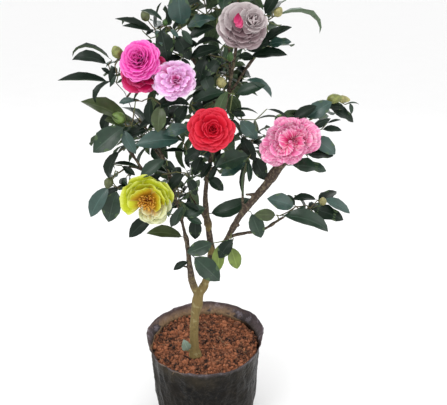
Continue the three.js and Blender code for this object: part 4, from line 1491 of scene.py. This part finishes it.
def rosette_rule():
    """A tree that sets petals round an axis by the golden ratio, upright within, open without.

    Each petal keeps two numbers: row, from 0 at the heart to 1 at the edge, and chance.
    """
    rule = Rule("rosette", {
        "Geometry": "geometry", "Petals": "count", "Shapes": "set", "Shape count": "count",
        "Inner tilt": "number", "Outer tilt": "number", "Opening": "number",
        "Inner size": "number", "Outer size": "number", "Spread": "number", "Dome": "number",
        "Jitter": "number", "Seed": "count", "Start": "number", "Arc": "number",
        "Facing": "vector", "Place": "vector", "Stretch": "vector", "Finish": "finish"})
    points = rule.node("GeometryNodePoints", None, {"Count": rule.given("Petals")})
    index = rule.node("GeometryNodeInputIndex")
    row = index / (rule.given("Petals") - 1)
    wobble = [rule.node("FunctionNodeRandomValue", {"data_type": "FLOAT"}, {
        2: -1.0, 3: 1.0, "ID": index, "Seed": rule.given("Seed") + k}, 1) for k in range(5)]
    jitter = rule.given("Jitter")
    share = (index * GOLDEN_SHARE).op("FRACT")
    turn = rule.given("Start") + rule.given("Arc") * share + wobble[0] * jitter * 0.5
    radius = rule.given("Spread") * row ** 0.6
    sine, cosine = turn.op("SINE"), turn.op("COSINE")
    spot = rule.node("ShaderNodeCombineXYZ", None, {
        "X": -1.0 * sine * radius, "Y": cosine * radius, "Z": rule.given("Dome") * (1.0 - row)})
    placed = rule.node("GeometryNodeSetPosition", None, {"Geometry": points, "Position": spot})
    opened = row ** rule.given("Opening")
    tilt = rule.given("Inner tilt") * (1.0 - opened) + rule.given("Outer tilt") * opened
    lean = math.pi / 2 - tilt + wobble[1] * jitter * 0.35
    angles = rule.node("ShaderNodeCombineXYZ", None, {
        "X": lean, "Y": wobble[2] * jitter * 0.45, "Z": turn})
    size = rule.given("Inner size") + (rule.given("Outer size") - rule.given("Inner size")) * row ** 0.75
    size = size * (1.0 + wobble[3] * jitter * 0.25)
    pick = rule.node("FunctionNodeRandomValue", {"data_type": "INT"}, {
        4: 0, 5: rule.given("Shape count") - 1, "ID": index, "Seed": rule.given("Seed") + 9}, 2)
    shapes = rule.node("GeometryNodeCollectionInfo", None, {
        "Collection": rule.given("Shapes"), "Separate Children": True, "Reset Children": True})
    rotation = rule.node("FunctionNodeEulerToRotation", None, {0: angles})
    flower = rule.node("GeometryNodeInstanceOnPoints", None, {
        "Points": placed, "Instance": shapes, "Pick Instance": True, "Instance Index": pick,
        "Rotation": rotation, "Scale": size})
    for name, value in (("row", row), ("chance", wobble[4])):
        flower = rule.node("GeometryNodeStoreNamedAttribute", {"data_type": "FLOAT", "domain": "INSTANCE"}, {
            "Geometry": flower, "Name": name, "Value": value})
    turned = rule.node("FunctionNodeEulerToRotation", None, {0: rule.given("Facing")})
    moved = rule.node("GeometryNodeTransform", None, {
        "Geometry": flower, "Scale": rule.given("Stretch")})
    moved = rule.node("GeometryNodeTransform", None, {
        "Geometry": moved, "Rotation": turned, "Translation": rule.given("Place")})
    return rule.output(rule.end(moved, rule.given("Finish")))


# A whorl of petals: its colour, its mass, its place in shares of the mass (across, up, back), where
# it faces, its reach across and upright in mm, and the rule's numbers (angles in degrees, spread
# and dome in mm). start and arc are the part of the ring that it fills, from the top leftwards.
Whorl = namedtuple("Whorl", "tint mass x z depth faces across tall petals shapes inner outer opening "
                            "small spread dome jitter seed start arc", defaults=(0, 360))
WHORLS = (
    Whorl("magenta", "left_bloom", 0.50, 0.63, 0.52, (-0.22, -1, 0.55), 32, 32, 84, TILED_PETALS,
          -6, 88, 0.75, 0.80, 7, 10, 0.32, 3),
    # Painted shade: a darker whorl round the lower part of the magenta bloom.
    Whorl("crimson", "left_bloom", 0.53, 0.52, 0.62, (0.05, -1, 0.20), 36, 38, 54, RUFFLED_PETALS,
          48, 98, 0.8, 0.66, 5, 0, 0.80, 33, 90, 190),
    Whorl("lilac", "middle_bloom", 0.43, 0.50, 0.60, (0.05, -1, 0.40), 34, 30, 30, RUFFLED_PETALS,
          58, 98, 0.9, 0.90, 5, 2, 0.36, 5),
    Whorl("lilac", "middle_bloom", 0.49, 0.51, 0.50, (0.05, -1, 0.35), 25, 22, 34, STRAP_PETALS,
          4, 66, 0.6, 0.62, 5, 2, 0.60, 6),
    Whorl("blush", "top_bloom", 0.48, 0.52, 0.60, (0.10, -1, 0.45), 39, 36, 18, BOWL_PETALS,
          52, 98, 0.9, 0.84, 6, 2, 0.26, 7, -125, 250),
    # Painted shade: a darker whorl on the lower petals of the blush bloom.
    Whorl("mauve", "top_bloom", 0.50, 0.51, 0.60, (0.10, -1, 0.40), 38, 36, 16, BOWL_PETALS,
          48, 96, 0.9, 0.80, 6, 2, 0.26, 8, 105, 150),
    Whorl("blush", "top_bloom", 0.64, 0.58, 0.45, (0.22, -1, 0.50), 24, 22, 20, BOWL_PETALS,
          -14, 64, 0.8, 0.66, 3, 4, 0.12, 17),
    Whorl("rose", "top_bloom", 0.41, 0.75, 0.30, (0.05, -1, 0.30), 21, 21, 4, STRAP_PETALS,
          72, 84, 1.0, 0.86, 1, 0, 0.12, 27, 166, 28),
    Whorl("red", "centre_bloom", 0.51, 0.53, 0.60, (0.05, -1, 0.40), 37, 35, 34, TILED_PETALS,
          54, 98, 0.9, 0.86, 6, 4, 0.28, 9),
    Whorl("red", "centre_bloom", 0.54, 0.56, 0.46, (0.05, -1, 0.38), 20, 19, 24, TILED_PETALS,
          -16, 52, 0.8, 0.50, 3, 6, 0.14, 19),
    Whorl("pink", "right_bloom", 0.47, 0.47, 0.58, (-0.02, -1, 0.30), 46, 40, 34, RUFFLED_PETALS,
          30, 96, 0.8, 0.84, 6, 2, 0.34, 11, -105, 210),
    Whorl("pink", "right_bloom", 0.36, 0.44, 0.50, (-0.02, -1, 0.25), 42, 34, 30, RUFFLED_PETALS,
          34, 92, 0.8, 0.70, 6, 2, 0.60, 12, 85, 180),
    Whorl("pink", "right_bloom", 0.51, 0.48, 0.42, (0.05, -1, 0.30), 16, 13, 12, STRAP_PETALS,
          -4, 50, 0.8, 0.70, 4, 2, 0.50, 13),
    Whorl("yellow", "low_bloom", 0.49, 0.49, 0.60, (-0.02, -1, 0.05), 43, 41, 11, BROAD_PETALS,
          50, 88, 1.0, 0.76, 5, 2, 0.30, 14, -96, 194),
    Whorl("cream", "low_bloom", 0.56, 0.44, 0.52, (0.02, -1, 0.10), 34, 38, 10, BOWL_PETALS,
          54, 94, 1.0, 0.72, 4, 0, 0.45, 15, 140, 120),
)
STAMENS = Whorl("yellow", "low_bloom", 0.49, 0.48, 0.50, (-0.05, -1, 0.10), 17, 15, 120, (), 4, 52,
                0.7, 0.9, 4, 1, 0.35, 16)


def paint_petal(tint, heart, body, rim):
    """Soft petals: deep at the heart, painted shadow at the claw, a paler rim that is partly the petal's own
    edge and partly painted highlight, finely veined.
    """
    paint = Paint(f"{tint} petal")
    uv = paint.own_uv()
    along = paint.part(uv, "Y")
    across = paint.part(uv, "X")
    row = paint.attribute("row")
    chance = paint.attribute("chance")
    fan = paint.node("ShaderNodeCombineXYZ", None, {"X": across * 26, "Y": along * 1.6, "Z": chance * 40})
    veins = paint.cloud(fan, 1.0, 3)
    aside = (across * 2.0 - 1.0).op("ABSOLUTE")
    outermost = aside.op("MAXIMUM", along)
    deep = paint.stretch(along * 0.75 + row * 0.45 + (veins - 0.5) * 0.5 + chance * 0.08, 0.25, 0.85)
    shade = paint.blend(deep, heart, body)
    # The paler rim is partly the petal's own paler edge and partly painted highlight where the edges catch
    # the light.
    pale = paint.stretch(outermost + (veins - 0.5) * 0.22, 0.80, 1.02)
    shade = paint.blend(pale * (0.35 + 0.35 * row), shade, rim)
    # Painted shadow: the claw, hidden under the petals in front, darkens to half the heart colour.
    shadow = tuple(0.5 * c for c in heart)
    shade = paint.blend(paint.stretch(along, 0.5, 0.1) * 0.7, shade, shadow)
    if tint == "pink":
        band = paint.node("ShaderNodeCombineXYZ", None, {
            "X": across * 15, "Y": along * 1.2, "Z": chance * 60})
        streak = paint.stretch(paint.cloud(band, 1.0, 2), 0.48, 0.60)
        shade = paint.blend(streak * 0.55, shade, rgb("fcdfe9"))
        line = paint.stretch(paint.cloud(band, 1.6, 2), 0.42, 0.34)
        shade = paint.blend(line * 0.45, shade, rgb("c23c74"))
    relief = paint.bump(veins, 0.5 * MM, 0.5)
    return paint.surface(Base_Color=shade, Roughness=0.5, Normal=relief, Specular_IOR_Level=0.18)


def paint_stamens():
    """Orange stalks with golden tips."""
    paint = Paint("stamens")
    along = paint.part(paint.own_uv(), "Y")
    stalk = paint.blend(paint.stretch(along, 0.1, 0.8), rgb("8a3410"), rgb("c87818"))
    return paint.surface(
        Base_Color=paint.blend(paint.stretch(along, 0.8, 0.88), stalk, rgb("dca83c")), Roughness=0.6)


def bloom_axis(whorl):
    """The middle of a whorl and the direction that it faces."""
    return in_mass(whorl.mass, whorl.x, whorl.depth, whorl.z), Vector(whorl.faces).normalized()


def grow_whorl(rule, whorl, shapes, finish, growth):
    """One whorl of petals or stamens as a plain mesh."""
    centre, axis = bloom_axis(whorl)
    reach = min(whorl.across, whorl.tall)
    longest = (reach - whorl.spread) * MM * growth
    return grow_by_rule(bpy.data.meshes.new("seat"), rule, {
        "Petals": whorl.petals, "Shapes": library(f"shapes_{whorl.seed}", shapes),
        "Shape count": len(shapes), "Inner tilt": math.radians(whorl.inner),
        "Outer tilt": math.radians(whorl.outer), "Opening": whorl.opening,
        "Inner size": longest * whorl.small, "Outer size": longest, "Spread": whorl.spread * MM,
        "Dome": whorl.dome * MM, "Jitter": whorl.jitter, "Seed": whorl.seed,
        "Start": math.radians(whorl.start), "Arc": math.radians(whorl.arc),
        "Stretch": (whorl.across / reach, whorl.tall / reach, 1.0),
        "Facing": tuple(axis.to_track_quat("Z", "Y").to_euler()), "Place": tuple(centre),
        "Finish": finish})


def joined(meshes):
    """Several meshes as one, with the first one's layers."""
    parts = [bpy.data.objects.new("part", mesh) for mesh in meshes]
    for part in parts:
        bpy.context.scene.collection.objects.link(part)
    with bpy.context.temp_override(active_object=parts[0], selected_editable_objects=parts):
        bpy.ops.object.join()
    mesh = parts[0].data
    bpy.data.objects.remove(parts[0])
    return mesh


class CAMELLIA_OT_blooms(Operator):
    """Make the blooms, their calyces and the stamens of the open one"""
    bl_idname = "camellia.blooms"
    bl_label = "Blooms"

    def execute(self, context):
        settings = context.scene.camellia_blooms
        rule = rosette_rule()
        for tint in dict.fromkeys(whorl.tint for whorl in WHORLS):
            finish = paint_petal(
                tint, *(tuple(getattr(settings, f"{tint}_{place}")) for place in ("heart", "body", "rim")))
            whorls = [whorl for whorl in WHORLS if whorl.tint == tint]
            meshes = []
            for whorl in whorls:
                shapes = [make_petal(shape, order) for order, shape in enumerate(whorl.shapes)]
                meshes.append(grow_whorl(rule, whorl, shapes, finish, settings.growth))
            slot = {"crimson": "magenta", "mauve": "blush", "rose": "pink", "cream": "yellow"}.get(tint, tint)
            stands_for = [f"foliage_{whorls[0].mass}"] if slot == tint else []
            add_piece(f"bloom_{tint}", joined(meshes), stands_for)
        stamens = grow_whorl(
            rule, STAMENS, [make_stamen(order) for order in range(3)], paint_stamens(), settings.growth)
        add_piece("stamens", stamens)
        self.make_calyces(rule)
        return {"FINISHED"}

    def make_calyces(self, rule):
        """Sets a cup of green sepals behind each bloom."""
        finish = paint_bud("sepal", rgb("5c6f38"))
        sepals = [make_petal(shape, order) for order, shape in enumerate(BOWL_PETALS)]
        cups = []
        for order, whorl in enumerate(first_whorls()):
            cup = whorl._replace(across=17, tall=17, petals=10, inner=60, outer=92, opening=1.0, small=0.7,
                                 spread=3, dome=-2, jitter=0.2, seed=60 + order, start=0, arc=360)
            cups.append(grow_whorl(rule, cup, sepals, finish, 1.0))
        for cup, whorl in zip(cups, first_whorls()):
            step = bloom_axis(whorl)[1] * -2.5 * MM
            cup.transform(Matrix.Translation(step))
        add_piece("calyces", joined(cups))


def first_whorls():
    """The outer whorl of each bloom."""
    firsts = {}
    for whorl in WHORLS:
        firsts.setdefault(whorl.mass, whorl)
    return list(firsts.values())


# ---- Twigs -----------------------------------------------------------------


class TwigSettings(PropertyGroup):
    """Thickness and colour of the twigs."""
    tip: size_setting("Tip", "Radius of a twig's end", 0.75)
    stout: size_setting("Stoutest", "Greatest radius of a twig", 1.9)
    colour: colour_setting("Twig colour", "Colour of the young bark", "54482c")


class Shoots:
    """Twigs that grow to each leaf, bud and bloom from the wood or from an earlier twig."""

    def __init__(self, wood):
        self.wood = KDTree(len(wood.vertices))
        for v in wood.vertices:
            self.wood.insert(v.co, v.index)
        self.wood.balance()
        self.twigs = []
        self.parents = []
        self.spots = []
        self.owners = []
        self.rng = random.Random(23)

    def nearest(self, target):
        """The nearest place to grow from, its distance, and the twig it is on or None."""
        spot, _, distance = self.wood.find(target)
        owner = None
        if self.spots:
            gaps = np.linalg.norm(np.array(self.spots) - np.array(target), axis=1)
            best = int(gaps.argmin())
            if gaps[best] < distance:
                spot, distance, owner = Vector(self.spots[best]), float(gaps[best]), self.owners[best]
        return spot, distance, owner

    def grow_to(self, target):
        """Adds a gently bowed twig that ends at the target."""
        start, distance, owner = self.nearest(target)
        if distance < 0.5 * MM:
            return
        bow = Vector(self.rng.uniform(-1, 1) for _ in range(3)) * 0.10 * distance
        middle = (start + target) / 2 + bow + Vector((0, 0, -0.05 * distance))
        steps = max(4, min(12, int(distance / (6 * MM))))
        path = []
        for i in range(steps + 1):
            t = i / steps
            path.append(start * (1 - t) ** 2 + middle * 2 * t * (1 - t) + target * t * t)
        for spot in path[1:]:
            self.spots.append(tuple(spot))
            self.owners.append(len(self.twigs))
        self.twigs.append(path)
        self.parents.append(owner)

    def grow_all(self, targets):
        """Grows to many targets, the ones nearest the wood first."""
        for target in sorted(targets, key=lambda p: self.wood.find(p)[2]):
            self.grow_to(target)

    def loads(self):
        """How many twig ends each twig carries, its own among them."""
        counts = [1] * len(self.twigs)
        for order in reversed(range(len(self.twigs))):
            if self.parents[order] is not None:
                counts[self.parents[order]] += counts[order]
        return counts

    def mesh(self, settings):
        """All the twigs as edges that carry their radius."""
        points, edges, radii = [], [], []
        for path, load in zip(self.twigs, self.loads()):
            root = min(settings.stout, settings.tip * (1 + 0.28 * math.sqrt(load)))
            first = len(points)
            points += [tuple(p) for p in path]
            radii += [root + (settings.tip - root) * i / (len(path) - 1) for i in range(len(path))]
            edges += [(first + i, first + i + 1) for i in range(len(path) - 1)]
        mesh = bpy.data.meshes.new("twig_paths")
        mesh.from_pydata(points, edges, [])
        mesh.attributes.new("girth", "FLOAT", "POINT").data.foreach_set("value", radii)
        return mesh


def twig_rule():
    """A tree that sweeps edges which carry their girth into round, capped twigs."""
    rule = Rule("swept twigs", {"Geometry": "geometry", "Sides": "count", "Finish": "finish"})
    lines = rule.node("GeometryNodeMeshToCurve", None, {"Mesh": rule.given("Geometry")})
    ring = rule.node("GeometryNodeCurvePrimitiveCircle", None, {
        "Resolution": rule.given("Sides"), "Radius": 1.0})
    swept = rule.node("GeometryNodeCurveToMesh", None, {
        "Curve": lines, "Profile Curve": ring, "Scale": rule.stored("girth", "FLOAT"),
        "Fill Caps": True})
    return rule.output(rule.end(swept, rule.given("Finish")))


def twig_targets():
    """Everything that a twig must carry."""
    targets = [leaf.base for spray in all_leaves().values() for leaf in spray]
    targets += [bud_base(bud) for bud in BUDS]
    targets += [bloom_axis(whorl)[0] for whorl in first_whorls()]
    return targets


def paint_twig(settings):
    """Young bark, brown with green shoots."""
    paint = Paint("twig bark")
    tone = paint.stretch(paint.cloud(paint.place(), 30, 3), 0.42, 0.6)
    shade = paint.blend(tone, settings.colour, rgb("5f6a3a"))
    return paint.surface(Base_Color=shade, Roughness=0.7)


class CAMELLIA_OT_twigs(Operator):
    """Grow the twigs from the wood to the leaves, buds and blooms"""
    bl_idname = "camellia.twigs"
    bl_label = "Twigs"

    def execute(self, context):
        settings = context.scene.camellia_twigs
        shoots = Shoots(bpy.data.objects["barked_wood"].data)
        shoots.grow_all(twig_targets())
        mesh = grow_by_rule(shoots.mesh(settings), twig_rule(), {"Sides": 7, "Finish": paint_twig(settings)})
        add_piece("twigs", mesh)
        return {"FINISHED"}


# ---- Stage -----------------------------------------------------------------


# The studio's lights: name, place, size in metres and power as a share of the main light's.
LIGHTS = (
    ("key_light", (-0.9, -1.1, 1.9), 0.9, 1.0), ("fill_light", (1.3, -0.9, 1.1), 1.2, 0.45),
    ("back_light", (0.3, 1.4, 1.6), 1.0, 0.5),
)
FLOOR_REACH = 12.0
FLOOR_LEVEL = -0.5 * MM


class StageSettings(PropertyGroup):
    """Where the camera stands and how bright the studio is."""
    eye: FloatVectorProperty(
        name="Camera", description="Where the camera stands", subtype="TRANSLATION", default=EYE)
    pitch: FloatProperty(
        name="Pitch", description="How far the camera looks down", default=math.radians(23),
        subtype="ANGLE")
    lens: FloatProperty(name="Lens", description="Focal length in millimetres", default=47.36)
    key: FloatProperty(name="Key light", description="Power of the main light in watts", default=13.0)
    sky: FloatProperty(name="Sky", description="Strength of the light from all round", default=1.05)


class CAMELLIA_OT_stage(Operator):
    """Make the floor, the studio lights and the camera"""
    bl_idname = "camellia.stage"
    bl_label = "Stage"

    def execute(self, context):
        settings = context.scene.camellia_stage
        self.make_floor()
        self.make_sky(context.scene, settings.sky)
        for name, place, size, share in LIGHTS:
            self.add_light(name, Vector(place), size, settings.key * share)
        lens = bpy.data.cameras.new("camera")
        lens.lens = settings.lens
        lens.sensor_width = 36
        camera = bpy.data.objects.new("camera", lens)
        camera.location = settings.eye
        camera.rotation_euler = (math.pi / 2 - settings.pitch, 0, 0)
        context.scene.collection.objects.link(camera)
        context.scene.camera = camera
        context.scene.view_settings.view_transform = "Standard"
        return {"FINISHED"}

    def make_floor(self):
        """A wide pale floor that the bag stands on."""
        signs = ((-1, -1), (1, -1), (1, 1), (-1, 1))
        corners = [(x * FLOOR_REACH, y * FLOOR_REACH, FLOOR_LEVEL) for x, y in signs]
        mesh = mesh_from("floor", corners, [[0, 1, 2, 3]])
        paint = Paint("pale floor")
        tone = paint.cloud(paint.place(), 6, 2)
        mesh.materials.append(paint.surface(
            Base_Color=paint.blend(tone, (0.90, 0.90, 0.90), (0.92, 0.92, 0.92)), Roughness=0.8))
        floor = bpy.data.objects.new("floor", mesh)
        bpy.context.scene.collection.objects.link(floor)

    def make_sky(self, scene, strength):
        """An even pale light from all round."""
        world = bpy.data.worlds.new("studio")
        world.use_nodes = True
        world.node_tree.nodes.clear()
        sheet = Sheet(world.node_tree)
        light = sheet.node("ShaderNodeBackground", None, {"Color": (1, 1, 1), "Strength": strength})
        sheet.node("ShaderNodeOutputWorld", None, {"Surface": light})
        scene.world = world

    def add_light(self, name, place, size, power):
        """A soft square light aimed at the crown."""
        lamp = bpy.data.lights.new(name, "AREA")
        lamp.size = size
        lamp.energy = power
        light = bpy.data.objects.new(name, lamp)
        light.location = place
        aim = Vector((0, 0, 0.5)) - place
        light.rotation_euler = aim.to_track_quat("-Z", "Y").to_euler()
        bpy.context.scene.collection.objects.link(light)


# ---- Panel and registration ------------------------------------------------

SETTINGS = {
    "camellia_bag": BagSettings, "camellia_soil": SoilSettings, "camellia_wood": WoodSettings,
    "camellia_leaves": LeafSettings, "camellia_twigs": TwigSettings,
    "camellia_blooms": BloomSettings, "camellia_stage": StageSettings,
}
OPERATORS = (
    CAMELLIA_OT_bag, CAMELLIA_OT_soil, CAMELLIA_OT_wood, CAMELLIA_OT_leaves, CAMELLIA_OT_buds,
    CAMELLIA_OT_blooms, CAMELLIA_OT_twigs, CAMELLIA_OT_stage,
)


class CAMELLIA_PT_panel(Panel):
    """The shrub's settings and the button that makes each piece"""
    bl_idname = "CAMELLIA_PT_panel"
    bl_label = "Potted camellia"
    bl_space_type = "VIEW_3D"
    bl_region_type = "UI"
    bl_category = "Camellia"

    def draw(self, context):
        for name, group in SETTINGS.items():
            box = self.layout.box()
            box.label(text=group.__doc__)
            for prop in group.__annotations__:
                box.prop(getattr(context.scene, name), prop)
        for operator in OPERATORS:
            self.layout.operator(operator.bl_idname)


def register():
    for group in SETTINGS.values():
        bpy.utils.register_class(group)
    for name, group in SETTINGS.items():
        setattr(bpy.types.Scene, name, PointerProperty(type=group))
    for operator in OPERATORS:
        bpy.utils.register_class(operator)
    bpy.utils.register_class(CAMELLIA_PT_panel)


def unregister():
    bpy.utils.unregister_class(CAMELLIA_PT_panel)
    for operator in reversed(OPERATORS):
        bpy.utils.unregister_class(operator)
    for name in SETTINGS:
        delattr(bpy.types.Scene, name)
    for group in reversed(list(SETTINGS.values())):
        bpy.utils.unregister_class(group)


def main():
    """Makes the whole plant, piece by piece."""
    register()
    bpy.ops.camellia.bag()
    bpy.ops.camellia.soil()
    bpy.ops.camellia.wood()
    bpy.ops.camellia.leaves()
    bpy.ops.camellia.buds()
    bpy.ops.camellia.blooms()
    bpy.ops.camellia.twigs()
    bpy.ops.camellia.stage()


if __name__ == "__main__":
    main()
